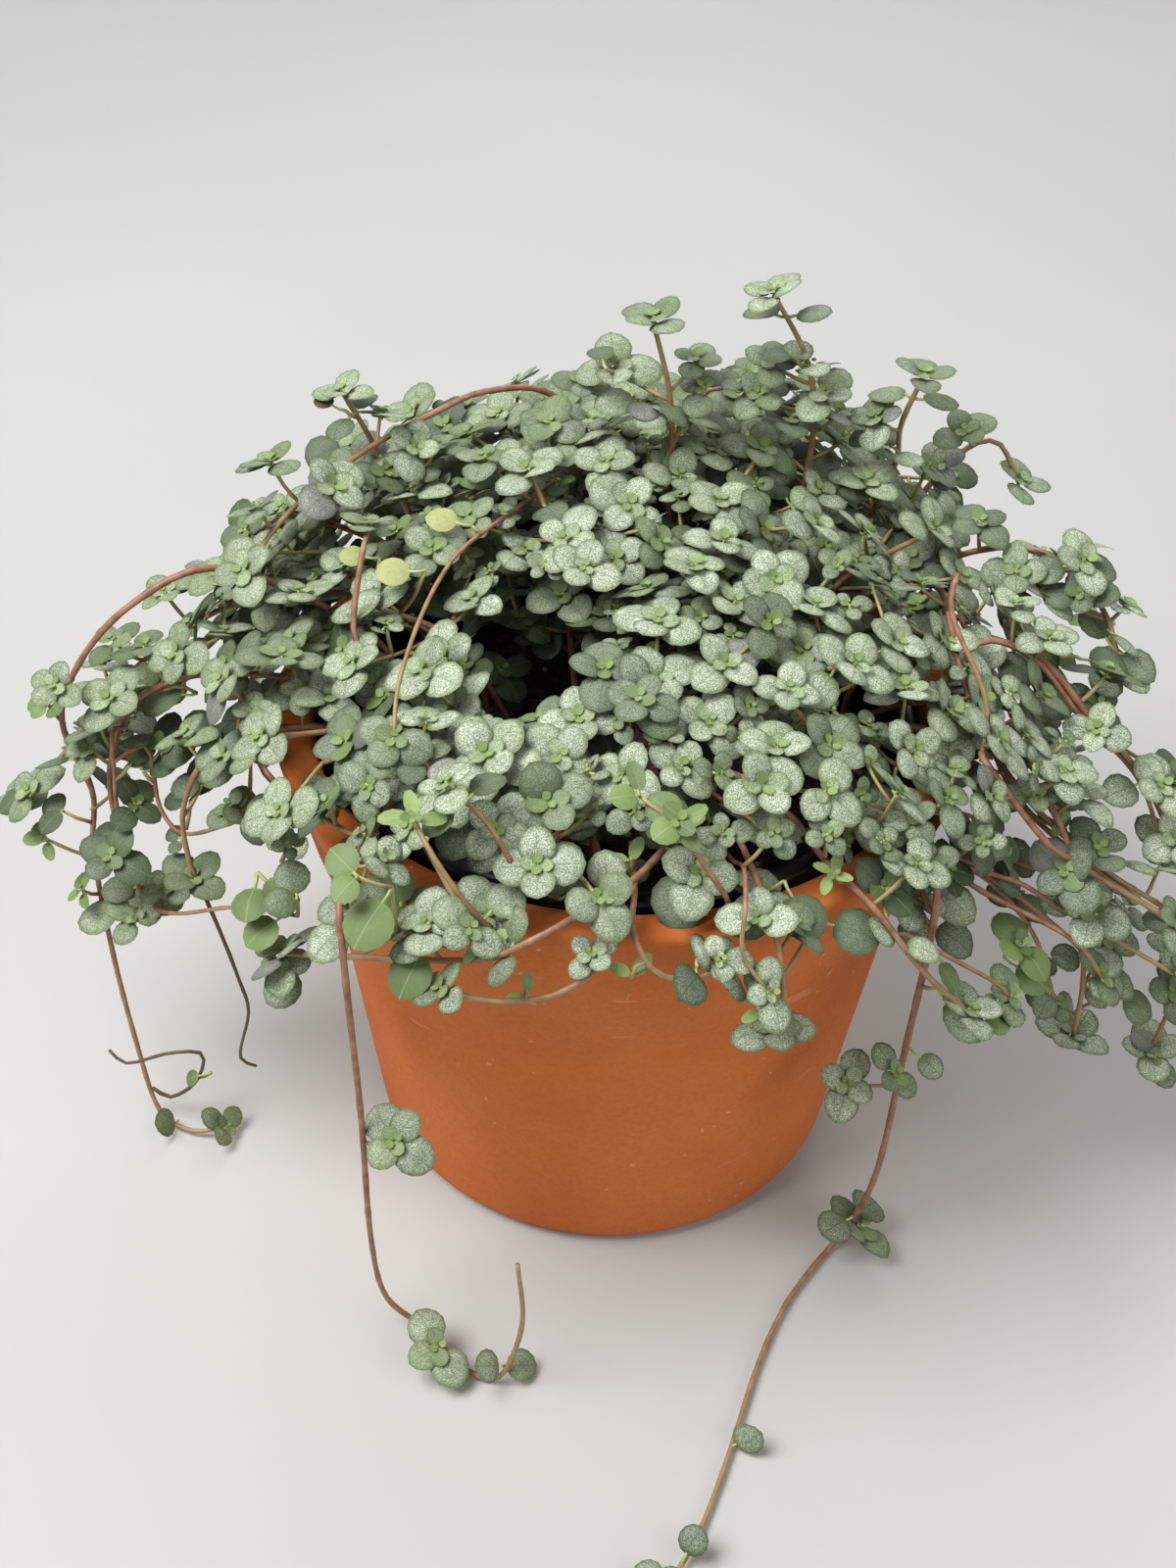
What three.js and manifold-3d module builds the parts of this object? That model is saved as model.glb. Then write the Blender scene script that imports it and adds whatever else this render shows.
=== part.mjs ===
// Potted pilea: a clay cover pot, a thin plastic pot inside it, soil, and small-leaved trailing stems.
// Millimetres, +Z up. The origin is the middle of the underside of the clay pot, and -Y is the front.
import * as THREE from 'three';
import { mergeVertices } from 'three/addons/utils/BufferGeometryUtils.js';
import Module from 'manifold-3d';

const wasm = await Module();
wasm.setup();

// ---- Driving dimensions -------------------------------------------------------------------------

const TAU = 2 * Math.PI;
const DEGREE = Math.PI / 180;
const GAP = 0.3;

const CLAY = {
  height: 110, baseRadius: 52, cornerRadius: 6, bandZ: 82, bandRadius: 62.4, rimRadius: 70,
  wall: 7.6, floor: 8, rimRounding: 1.6, segments: 24,
};
const LINER = {
  baseRadius: 40.5, topRadius: 57.4, lipRadius: 60.2, wall: 1.2, height: 101, lipDrop: 5, segments: 22,
};
const SOIL = { top: 98, lump: 1.1, segments: 18, rings: 2, holeDepth: 10, holeRoom: 0.5 };
const COLLAR_Z = SOIL.top + 4.5;

const STEM = { radius: 1, sides: 3, stepLength: 15 };
const SHOOT = { radius: 0.52, sides: 3, stepLength: 9 };
const TENDRIL = { radius: 0.45, sides: 3, stepLength: 9 };
const LEAF = { thickness: 0.68, hub: 1.1, rimAngles: [50, 112] };

// How a rosette, a pair and a cluster are set: blade tilts in degrees, leaf stalk lengths and sizes.
const ROSETTE = { lowerTilt: 2, lowerStalk: 1.7, upperTilt: 17, upperStalk: 1.9, upperSize: 0.86 };
const PAIR = { radius: 3.3, tilt: 8, stalk: 1.1, lift: 0.5 };
const CLUSTER = {
  leaves: 3, smallest: 3.3, largest: 4, leastSwing: 35, mostSwing: 80,
  kneeOut: 2.6, kneeUp: 1.2, tipOut: 4.4, tipUp: 4.2, lean: 0.45,
};
const TIP_LIFT = 0.9;
const VARIATION = { leastLean: -6, mostLean: 8, leastSize: 0.9 };

// Where a long stem passes over the rim of the pots, from its root: times as far out, and how high.
const OVER_RIM = { outward: 1.08, z: CLAY.height + 5 };

// How far apart the middle lines and middle faces of different pieces stay.
const CLEAR = { stemToStem: 2.3, stemToLeaf: 1.5, leafToLeaf: 1.15, leafToPot: 0.8, shootToPot: 1 };

const MOUND = {
  stems: 16, rootRadius: 41, tipRadius: 88, frontPull: 22, edgeZ: 126, crownRise: 26, backRise: 0.13,
  hollowX: -17, hollowY: -16, hollowRadius: 20, hollowDepth: 12, hollowClear: 15,
  tipDrop: 5, bendOut: 0.42, bendUp: 0.72, leafSpread: 75, leafUp: 1.3, leafForward: 0.3,
};
const MOUND_LEAVES = { smallest: 3.5, largest: 4.1, shootFrom: 0.62, shootTo: 0.78 };
// Side shoots of a mound stem: how far round and how far out their tips sit, and how far below the
// mound's outside, near the crown and more towards the edge.
const MOUND_SHOOTS = [[14, 2, 2, 2], [-13, 3, 3, 16]];
const GOLDEN_ANGLE = 137.508 * DEGREE;

// What is tried in turn where pieces would meet: more tilt and a smaller size for a leaf, a turn for a
// whorl or a mound stem, and a stretch for a mound shoot.
const LEAF_TRIES = [[0, 1], [12, 1], [-12, 1], [20, 0.95], [-20, 0.92], [0, 0.85], [14, 0.75]];
const WHORL_TURNS = [0, 30, 60, -15, 15];
const STEM_TURNS = [0, 4, -4, 8, -8, 12, -12, 17, -17, 22, -22];
const SHOOT_STRETCHES = [1, 0.8, 1.2, 0.62];

// Each long stem: its root on the soil, its route by hand, and where its leaves sit along it,
// as shares of its length. A cluster is three leaves on a short shoot, a pair is two leaves on the stem.
const LONG_STEMS = {
  left_trailing_stem: {
    root: [-46, 8],
    route: [[-66, 7, 128], [-82, 1, 137], [-97, -5, 131], [-108, -7, 118], [-113, -8, 104], [-110, -6, 84],
      [-111, -9, 70], [-109, -14, 45], [-106, -18, 22], [-102, -22, 3], [-94, -27, 1.8], [-86, -27, 3]],
    clusters: [0.55], pairs: [0.95], tip: 3,
    tendril: {
      at: 0.9,
      route: [
        [-99, -21, 6], [-92, -23, 14], [-90, -22, 22], [-97, -23, 23], [-107, -23, 19], [-111, -22, 22],
      ],
    },
  },
  left_hanging_stem: {
    root: [-46, -7],
    route: [[-68, -9, 119], [-86, -8, 117], [-99, -8, 108], [-104, -12, 92], [-101, -17, 76], [-98, -20, 65]],
    clusters: [0.72], pairs: [], tip: 3.7,
  },
  left_outer_stem: {
    root: [-42, 19],
    route: [[-66, 18, 122], [-88, 13, 116], [-106, 9, 101], [-118, 5, 86], [-127, 2, 76]],
    clusters: [0.76], pairs: [], tip: 3.7,
  },
  left_lower_stem: {
    root: [-41, -21],
    route: [[-62, -21, 116], [-78, -22, 111], [-86, -24, 96], [-85, -27, 80]],
    clusters: [0.7], pairs: [], tip: 3.7,
    tendril: {
      at: 0.97,
      route: [[-80, -31, 70], [-77, -32, 57], [-76, -31, 46], [-79, -31, 32], [-76, -30, 28]],
    },
  },
  front_left_hanging_stem: {
    root: [-35, -30],
    route: [[-45, -56, 117], [-47, -70, 118], [-46, -77, 107], [-45, -77, 69], [-45, -76, 31], [-43, -75, 10],
      [-36, -76, 1.7], [-30, -82, 1.5], [-24, -87, 1.6], [-18, -88, 3], [-14, -86, 18], [-15, -85, 36]],
    clusters: [0.47, 0.79], pairs: [0.87], tip: 0,
  },
  front_left_level_stem: {
    root: [11, -41],
    route: [[11, -50, 118], [5, -61, 118], [-3, -71, 119], [-12, -77, 117], [-21, -78, 112], [-33, -74, 107],
      [-46, -68, 101], [-60, -61, 94]],
    clusters: [0.74], pairs: [0.6], tip: 3.6,
  },
  front_arc_stem: {
    root: [-4, -44],
    route: [[-1, -62, 115], [0, -71, 115], [-2, -77, 110], [-9, -79, 105], [-16, -80, 104], [-22, -81, 105],
      [-28, -82, 108]],
    clusters: [], pairs: [0.5], tip: 3,
  },
  front_drooping_stem: {
    root: [3, -46],
    route: [[4, -62, 115], [4, -73, 115], [8, -77, 110], [14, -77, 108], [19, -76, 110]],
    clusters: [], pairs: [0.62], tip: 3.5,
  },
  front_short_stem: {
    root: [20, -42],
    route: [[25, -58, 117], [29, -70, 113], [31, -76, 103], [30, -76, 95]],
    clusters: [0.7], pairs: [], tip: 3.7,
  },
  front_right_reaching_stem: {
    root: [29, -36],
    route: [[38, -54, 117], [47, -61, 112], [57, -64, 100], [67, -62, 88]],
    clusters: [], pairs: [0.74], tip: 3.8,
  },
  front_right_hanging_stem: {
    root: [40, -23],
    route: [[53, -36, 116], [58, -46, 115], [60, -51, 103], [59, -52, 65], [58, -52, 30], [55, -50, 10],
      [52, -50, 2.2], [46, -58, 1.6], [40, -68, 1.5], [34, -83, 1.5], [28, -103, 1.5], [22, -120, 1.6],
      [16, -132, 3]],
    clusters: [0.38, 0.65], pairs: [0.87], tip: 3,
  },
  right_long_stem: {
    root: [46, 6],
    route: [[66, 5, 126], [81, -4, 128], [92, -11, 119], [104, -14, 107], [114, -16, 90], [120, -18, 74],
      [120, -22, 57], [117, -26, 42]],
    clusters: [0.6, 0.84], pairs: [], tip: 3.7,
  },
  right_arching_stem: {
    root: [42, 16],
    route: [[54, 13, 130], [61, 4, 138], [64, -6, 132], [70, -17, 119], [82, -24, 106], [97, -29, 95],
      [112, -30, 85], [120, -31, 73]],
    clusters: [0.64, 0.86], pairs: [], tip: 3.7,
  },
  right_lower_stem: {
    root: [45, -11],
    route: [[67, -20, 119], [82, -28, 112], [91, -34, 94], [96, -34, 70], [98, -31, 50]],
    clusters: [0.7], pairs: [], tip: 3.7,
  },
  right_upper_stem: {
    root: [41, 22],
    route: [[68, 25, 132], [85, 21, 136], [96, 13, 129], [101, 5, 118]],
    clusters: [0.76], pairs: [], tip: 3.8,
  },
  tall_sprig: {
    root: [25, 27],
    route: [[31, 33, 124], [36, 35, 143], [36, 34, 160], [33, 33, 172], [26, 33, 184]],
    clusters: [0.68], pairs: [0.84], tip: 3.5,
  },
  top_sprig: {
    root: [5, 31],
    route: [[8, 31, 125], [8, 30, 150], [7, 29, 164], [3, 28, 180]],
    clusters: [0.72], pairs: [], tip: 3.5,
  },
  back_right_sprig: {
    root: [34, 31],
    route: [[48, 36, 128], [54, 36, 146], [54, 35, 156], [57, 35, 167]],
    clusters: [], pairs: [0.8], tip: 3.5,
  },
  right_nodding_sprig: {
    root: [38, 26],
    route: [[57, 42, 128], [68, 46, 143], [76, 46, 147], [82, 45, 138]],
    clusters: [], pairs: [0.7], tip: 3.5,
  },
  left_sprig: {
    root: [-36, 25],
    route: [[-45, 30, 132], [-53, 32, 149], [-58, 31, 160]],
    clusters: [], pairs: [0.8], tip: 3,
  },
  left_arch_stem: {
    root: [-7, 43],
    route: [[-8, 47, 138], [-17, 47, 153], [-30, 42, 156], [-41, 37, 153], [-55, 24, 150], [-67, 9, 145],
      [-74, -1, 138]],
    clusters: [0.74], pairs: [], tip: 3.7,
  },
  back_arch_stem: {
    root: [12, 43],
    route: [[9, 47, 140], [13, 47, 154], [22, 46, 157], [30, 49, 152], [38, 54, 146]],
    clusters: [], pairs: [0.7], tip: 3.7,
  },
  back_left_hanging_stem: {
    root: [-24, 40],
    route: [[-36, 62, 121], [-43, 77, 117], [-46, 85, 100], [-46, 87, 70], [-44, 87, 44]],
    clusters: [0.66], pairs: [], tip: 3.7,
  },
  back_trailing_stem: {
    root: [7, 46],
    route: [[10, 70, 121], [12, 84, 114], [13, 90, 95], [12, 92, 60], [12, 92, 28], [14, 96, 6],
      [21, 105, 1.8], [32, 110, 1.6], [43, 108, 3]],
    clusters: [0.5], pairs: [0.86], tip: 3.4,
  },
  back_right_hanging_stem: {
    root: [30, 36],
    route: [[46, 56, 121], [57, 69, 117], [63, 77, 98], [65, 79, 74], [63, 79, 54]],
    clusters: [0.7], pairs: [], tip: 3.7,
  },
  side_left_hanging_stem: {
    root: [-37, 29],
    route: [[-60, 42, 121], [-76, 50, 116], [-84, 54, 97], [-86, 55, 72]],
    clusters: [0.7], pairs: [], tip: 3.7,
  },
};

// ---- Materials ----------------------------------------------------------------------------------

function finish(color, roughness) {
  return new THREE.MeshStandardMaterial({ color, roughness, metalness: 0 });
}

const TERRACOTTA = finish('#b4622f', 0.85);
const BLACK_PLASTIC = finish('#17181a', 0.5);
const SOIL_MIX = finish('#2b211b', 1.0);
const FOLIAGE = finish('#8fae8f', 0.6);

// ---- Small helpers ------------------------------------------------------------------------------

function vec(x, y, z) {
  return new THREE.Vector3(x, y, z);
}

function polar(radius, angle, z) {
  return vec(radius * Math.cos(angle), radius * Math.sin(angle), z);
}

// A fixed draw between 0 and 1 for a set of whole numbers, the same on every run.
function draw(...keys) {
  let hash = 2654435769;
  for (const key of keys) {
    hash = Math.imul((hash ^ (key + 17)) >>> 0, 2246822519) >>> 0;
    hash = (hash ^ (hash >>> 15)) >>> 0;
    hash = Math.imul(hash, 3266489917) >>> 0;
    hash = (hash ^ (hash >>> 13)) >>> 0;
  }
  return hash / 4294967296;
}

function drawBetween(low, high, ...keys) {
  return low + (high - low) * draw(...keys);
}

// Two directions that stand square to the axis and to each other; the first one is level.
function squareTo(axis) {
  const level = Math.abs(axis.z) > 0.9999 ? vec(1, 0, 0) : vec(-axis.y, axis.x, 0);
  const first = level.normalize();
  const second = vec(0, 0, 0).crossVectors(axis, first);
  return [first, second];
}

function along(start, direction, distance) {
  return start.clone().addScaledVector(direction, distance);
}

const UP = vec(0, 0, 1);

// ---- Solids -------------------------------------------------------------------------------------

function toSolid(geometry) {
  const bare = geometry.clone();
  bare.deleteAttribute('normal');
  bare.deleteAttribute('uv');
  const merged = mergeVertices(bare, 1e-4);
  const mesh = new wasm.Mesh({
    numProp: 3,
    vertProperties: new Float32Array(merged.attributes.position.array),
    triVerts: new Uint32Array(merged.index.array),
  });
  return new wasm.Manifold(mesh);
}

function toGeometry(solid) {
  const mesh = solid.getMesh();
  const geometry = new THREE.BufferGeometry();
  geometry.setAttribute('position', new THREE.BufferAttribute(mesh.vertProperties, 3));
  geometry.setIndex(new THREE.BufferAttribute(mesh.triVerts, 1));
  geometry.computeVertexNormals();
  return geometry;
}

function fuse(solids) {
  return solids.reduce((whole, next) => whole.add(next));
}

function lathe(profile, segments) {
  const geometry = new THREE.LatheGeometry(profile.map(([r, z]) => new THREE.Vector2(r, z)), segments);
  geometry.rotateX(Math.PI / 2);
  return geometry;
}

function regularSection(radius, sides) {
  const corners = [];
  for (let i = 0; i < sides; i += 1) {
    const angle = (i + 0.5) * TAU / sides;
    corners.push(new THREE.Vector2(radius * Math.cos(angle), radius * Math.sin(angle)));
  }
  return new THREE.Shape(corners);
}

// A stalk is a smooth curve through its points, swept in a few straight steps of equal length.
function newStalk(points, form) {
  const curve = new THREE.CatmullRomCurve3(points, false, 'catmullrom', 0.5);
  const steps = Math.max(1, Math.round(curve.getLength() / form.stepLength));
  return { curve, form, steps, joints: curve.getSpacedPoints(steps) };
}

function stalkPoint(stalk, share) {
  const place = Math.min(share * stalk.steps, stalk.steps - 1e-9);
  const step = Math.floor(place);
  return stalk.joints[step].clone().lerp(stalk.joints[step + 1], place - step);
}

function stalkDirection(stalk, share) {
  const step = Math.min(Math.floor(share * stalk.steps), stalk.steps - 1);
  return stalk.joints[step + 1].clone().sub(stalk.joints[step]).normalize();
}

function stalkSolid(stalk) {
  const section = regularSection(stalk.form.radius, stalk.form.sides);
  const sweep = { steps: stalk.steps, bevelEnabled: false, extrudePath: stalk.curve };
  return toSolid(new THREE.ExtrudeGeometry(section, sweep));
}

// The outline of one leaf in its whorl's own plane, from its right-hand side round to its left.
function leafOutline(leaf) {
  const reach = leaf.stalk + leaf.radius;
  const side = LEAF.rimAngles.map((degrees) => {
    const angle = degrees * DEGREE;
    return vec(reach - leaf.radius * Math.cos(angle), leaf.radius * Math.sin(angle), 0);
  });
  const mirrored = side.map((point) => vec(point.x, -point.y, 0));
  const tip = vec(reach + leaf.radius, 0, 0);
  return [...mirrored, tip, ...side.reverse()].map((point) => point.applyAxisAngle(UP, leaf.turn));
}

// A leaf is level as far as the foot of its blade, and then rises at its own slope.
function leafRise(leaf, distance) {
  const foot = leaf.stalk + leaf.radius * (1 - Math.cos(LEAF.rimAngles[0] * DEGREE));
  return Math.max(0, distance - foot) * Math.tan(leaf.tilt);
}

// True for a point on the outline of the leaf, and false on its neighbours' and at the hub.
function belongsTo(leaf, spot) {
  return spot.distanceTo(polar(leaf.stalk + leaf.radius, leaf.turn, 0)) < leaf.radius + 0.01;
}

// A whorl is its leaves in one outline round the hub that the stem meets.
// Its upper and lower faces rise alike, so it keeps one thickness.
function whorlSolid(whorl) {
  const leaves = [...whorl.leaves].sort((one, other) => one.turn - other.turn);
  const outline = [];
  leaves.forEach((leaf, i) => {
    const next = i + 1 < leaves.length ? leaves[i + 1].turn : leaves[0].turn + TAU;
    outline.push(...leafOutline(leaf), polar(LEAF.hub, (leaf.turn + next) / 2, 0));
  });
  const shape = new THREE.Shape(outline.map((point) => new THREE.Vector2(point.x, point.y)));
  const blades = new THREE.ExtrudeGeometry(shape, { depth: LEAF.thickness, bevelEnabled: false });
  const position = blades.attributes.position;
  for (let i = 0; i < position.count; i += 1) {
    const spot = vec(position.getX(i), position.getY(i), 0);
    const leaf = leaves.find((each) => belongsTo(each, spot));
    const rise = leaf ? leafRise(leaf, spot.dot(polar(1, leaf.turn, 0))) : 0;
    position.setZ(i, position.getZ(i) - LEAF.thickness / 2 + rise);
  }
  const [first, second] = squareTo(whorl.axis);
  const place = new THREE.Matrix4().makeBasis(first, second, whorl.axis);
  place.setPosition(whorl.base);
  blades.applyMatrix4(place);
  return toSolid(blades);
}

// ---- Room between pieces ------------------------------------------------------------------------

// Everything placed so far: points along stems and over leaves, and the leaves as discs.
const taken = { points: [], discs: [] };

function pointsAlong(stalk) {
  const count = Math.ceil(stalk.curve.getLength());
  return Array.from({ length: count + 1 }, (_, i) => stalkPoint(stalk, i / count));
}

function pointsOver(disc) {
  const [first, second] = squareTo(disc.normal);
  const points = [disc.centre];
  for (const [share, count] of [[1, 12], [0.5, 6]]) {
    for (let i = 0; i < count; i += 1) {
      const angle = i * TAU / count;
      const outward = along(first.clone().multiplyScalar(Math.cos(angle)), second, Math.sin(angle));
      points.push(along(disc.centre, outward, share * disc.radius));
    }
  }
  return points;
}

function distanceToDisc(point, disc) {
  const offset = point.clone().sub(disc.centre);
  const height = offset.dot(disc.normal);
  const outward = Math.max(0, along(offset, disc.normal, -height).length() - disc.radius);
  return Math.hypot(height, outward);
}

function clayRadiusAt(z) {
  if (z < CLAY.bandZ) {
    return CLAY.baseRadius + (CLAY.bandRadius - CLAY.baseRadius) * z / CLAY.bandZ;
  }
  return CLAY.bandRadius + (CLAY.rimRadius - CLAY.bandRadius) * (z - CLAY.bandZ) / (CLAY.height - CLAY.bandZ);
}

// True where a point is closer than the margin to the pots, the soil or the surface below.
function hitsPotOrFloor(point, margin) {
  const radius = Math.hypot(point.x, point.y);
  if (point.z < margin) {
    return true;
  }
  if (point.z > CLAY.height + margin || radius > clayRadiusAt(point.z) + margin) {
    return false;
  }
  return radius > LINER.topRadius - 3 || point.z < SOIL.top + SOIL.lump + margin;
}

function stemFits(points, owner) {
  return taken.points.every((other) => other.owner === owner || other.isLeaf
    || points.every((point) => point.distanceTo(other.point) > CLEAR.stemToStem));
}

function clearOfLeaves(points) {
  return taken.discs.every((disc) => points.every((point) => distanceToDisc(point, disc) > CLEAR.stemToLeaf));
}

function leafFits(disc, stalkPoints, owner) {
  const over = pointsOver(disc);
  if (over.some((point) => hitsPotOrFloor(point, CLEAR.leafToPot))) {
    return false;
  }
  for (const other of taken.points) {
    const own = other.owner === owner;
    if (own && !other.isLeaf) {
      continue;
    }
    const clearance = other.isLeaf ? CLEAR.leafToLeaf : CLEAR.stemToLeaf;
    if (other.point.distanceTo(disc.centre) < disc.radius + clearance
      && distanceToDisc(other.point, disc) < clearance) {
      return false;
    }
    if (!own && stalkPoints.some((point) => point.distanceTo(other.point) < CLEAR.stemToLeaf + 0.3)) {
      return false;
    }
  }
  const all = [...over, ...stalkPoints];
  return taken.discs.every((other) => other.centre.distanceTo(disc.centre) > other.radius + disc.radius + 2
    || all.every((point) => distanceToDisc(point, other) > CLEAR.leafToLeaf));
}

function keepStem(points, owner) {
  for (const point of points) {
    taken.points.push({ point, owner, isLeaf: false });
  }
}

function keepLeaf(disc, stalkPoints, owner) {
  taken.discs.push(disc);
  for (const point of [...pointsOver(disc), ...stalkPoints]) {
    taken.points.push({ point, owner, isLeaf: true });
  }
}

// ---- Growing ------------------------------------------------------------------------------------

// A plant is a stem with its own side shoots and leaves. It stands upright in its hole in the soil.
function newPlant(name, number, root, route) {
  const foot = vec(root[0], root[1], SOIL.top - SOIL.holeDepth + GAP);
  const collar = vec(root[0], root[1], COLLAR_Z);
  return { name, number, root, main: newStalk([foot, collar, ...route], STEM), shoots: [], whorls: [] };
}

// Finds a tilt and size at which a leaf is clear of everything else, or gives null.
function findLeaf(plant, base, axis, wanted) {
  const [first, second] = squareTo(axis);
  const flat = along(first.multiplyScalar(Math.cos(wanted.turn)), second, Math.sin(wanted.turn));
  for (const [moreTilt, size] of LEAF_TRIES) {
    const leaf = { ...wanted, tilt: (wanted.tilt + moreTilt) * DEGREE, radius: wanted.radius * size };
    const reach = leaf.stalk + leaf.radius;
    const centre = along(along(base, flat, reach), axis, leafRise(leaf, reach));
    const normal = along(axis.clone(), flat, -Math.tan(leaf.tilt)).normalize();
    const disc = { centre, normal, radius: leaf.radius / Math.cos(leaf.tilt) };
    const stalkPoints = [along(base, flat, 0.7), along(base, flat, 1.5)];
    if (leafFits(disc, stalkPoints, plant.number)) {
      return { ...leaf, disc, stalkPoints };
    }
  }
  return null;
}

// Grows the wanted leaves round one point, turned round the stem to where most of them fit.
function growWhorl(plant, base, axis, turn, wanted, key) {
  let best = [];
  for (const shift of WHORL_TURNS) {
    const found = wanted.map((leaf, i) => {
      const lean = drawBetween(VARIATION.leastLean, VARIATION.mostLean, plant.number, key, i, 2);
      const size = drawBetween(VARIATION.leastSize, 1, plant.number, key, i, 3);
      const leafTurn = (turn + leaf.turn + shift * DEGREE + TAU) % TAU;
      const plan = { ...leaf, turn: leafTurn, tilt: leaf.tilt + lean, radius: leaf.radius * size };
      return findLeaf(plant, base, axis, plan);
    }).filter((leaf) => leaf !== null);
    if (found.length > best.length) {
      best = found;
    }
    if (best.length === wanted.length) {
      break;
    }
  }
  if (best.length > 0) {
    best.forEach((leaf) => keepLeaf(leaf.disc, leaf.stalkPoints, plant.number));
    plant.whorls.push({ base, axis, leaves: best });
  }
}

// Two opposite leaves on a stem.
function growPair(plant, base, axis, radius, key) {
  const turn = drawBetween(0, Math.PI, plant.number, key, 9);
  const wanted = [0, Math.PI].map((side) => ({ turn: side, tilt: PAIR.tilt, radius, stalk: PAIR.stalk }));
  growWhorl(plant, base, axis, turn, wanted, key);
}

// The rosette at the end of a stem: two leaves, and across them one or two smaller, steeper ones.
function growRosette(plant, tip, axis, radius, count, key) {
  const turn = drawBetween(0, Math.PI, plant.number, key, 9);
  const lower = { tilt: ROSETTE.lowerTilt, radius, stalk: ROSETTE.lowerStalk };
  const upper = { tilt: ROSETTE.upperTilt, radius: radius * ROSETTE.upperSize, stalk: ROSETTE.upperStalk };
  const wanted = [lower, upper, lower, upper].slice(0, count).map((leaf, quarter) => (
    { ...leaf, turn: quarter * TAU / 4 }));
  growWhorl(plant, tip, axis, turn, wanted, key);
}

function growShoot(plant, route) {
  const shoot = newStalk(route, SHOOT);
  const points = pointsAlong(shoot).slice(3);
  const fits = stemFits(points, plant.number) && clearOfLeaves(points);
  if (!fits || points.some((point) => hitsPotOrFloor(point, CLEAR.shootToPot))) {
    return false;
  }
  keepStem(points, plant.number);
  plant.shoots.push(shoot);
  return true;
}

// A cluster sits on a short shoot that leaves the stem sideways and turns up to the light.
function growCluster(plant, share, radius, key) {
  const start = stalkPoint(plant.main, share);
  const outward = Math.atan2(start.y, start.x);
  const degrees = drawBetween(CLUSTER.leastSwing, CLUSTER.mostSwing, plant.number, key, 4);
  const swing = (key % 2 ? 1 : -1) * degrees * DEGREE;
  for (const turn of [swing, -swing, swing / 2, -swing / 2, 0]) {
    const side = polar(1, outward + turn, 0);
    const knee = along(along(start, side, CLUSTER.kneeOut), UP, CLUSTER.kneeUp);
    const tip = along(along(start, side, CLUSTER.tipOut), UP, CLUSTER.tipUp);
    if (growShoot(plant, [start, knee, tip])) {
      const axis = along(UP.clone(), side, CLUSTER.lean).normalize();
      growRosette(plant, tip, axis, radius, CLUSTER.leaves, key);
      return;
    }
  }
}

function growLeavesOnLongStem(plant, plan) {
  plan.clusters.forEach((share, i) => {
    const radius = drawBetween(CLUSTER.smallest, CLUSTER.largest, plant.number, i, 5);
    growCluster(plant, share, radius, 10 + i);
  });
  plan.pairs.forEach((share, i) => {
    const axis = stalkDirection(plant.main, share);
    axis.z = Math.abs(axis.z) + PAIR.lift;
    growPair(plant, stalkPoint(plant.main, share), axis.normalize(), PAIR.radius, 30 + i);
  });
  if (plan.tip > 0) {
    const axis = stalkDirection(plant.main, 1);
    axis.z = Math.abs(axis.z) + TIP_LIFT;
    growRosette(plant, stalkPoint(plant.main, 1), axis.normalize(), plan.tip, 4, 40);
  }
}

function growLongStem([name, plan], number) {
  const [x, y] = plan.root;
  const aboveRim = vec(x * OVER_RIM.outward, y * OVER_RIM.outward, OVER_RIM.z);
  const plant = newPlant(name, number, plan.root, [aboveRim, ...plan.route.map((spot) => vec(...spot))]);
  keepStem(pointsAlong(plant.main), number);
  if (plan.tendril) {
    const start = stalkPoint(plant.main, plan.tendril.at);
    const tendril = newStalk([start, ...plan.tendril.route.map((spot) => vec(...spot))], TENDRIL);
    keepStem(pointsAlong(tendril), number);
    plant.shoots.push(tendril);
  }
  return plant;
}

// The mound's outside: a low dome, higher at the back, with a hollow near its middle.
function moundRadius(angle) {
  const front = Math.max(0, -Math.sin(angle));
  return MOUND.tipRadius - MOUND.frontPull * front * front;
}

function moundHeight(x, y) {
  const share = Math.hypot(x, y) / MOUND.tipRadius;
  const away = Math.hypot(x - MOUND.hollowX, y - MOUND.hollowY) / MOUND.hollowRadius;
  const dip = MOUND.hollowDepth * Math.exp(-away * away / 2);
  return MOUND.edgeZ + MOUND.crownRise * (1 - share * share) + MOUND.backRise * y - dip;
}

function onMound(radius, angle, drop) {
  const spot = polar(radius, angle, 0);
  const across = spot.x - MOUND.hollowX;
  const along = spot.y - MOUND.hollowY;
  const away = Math.hypot(across, along);
  const outward = (Math.hypot(away, MOUND.hollowClear) - away) / Math.max(away, 1);
  spot.x += across * outward;
  spot.y += along * outward;
  spot.z = moundHeight(spot.x, spot.y) - drop;
  return spot;
}

// Rosettes face outwards and up, and at the back less far back, towards the light.
function moundAxis(spot) {
  const forward = -MOUND.leafForward * Math.min(1, spot.y / 40);
  const outward = spot.y > 0 ? forward : spot.y / MOUND.leafSpread;
  return vec(spot.x / MOUND.leafSpread, outward, MOUND.leafUp).normalize();
}

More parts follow.
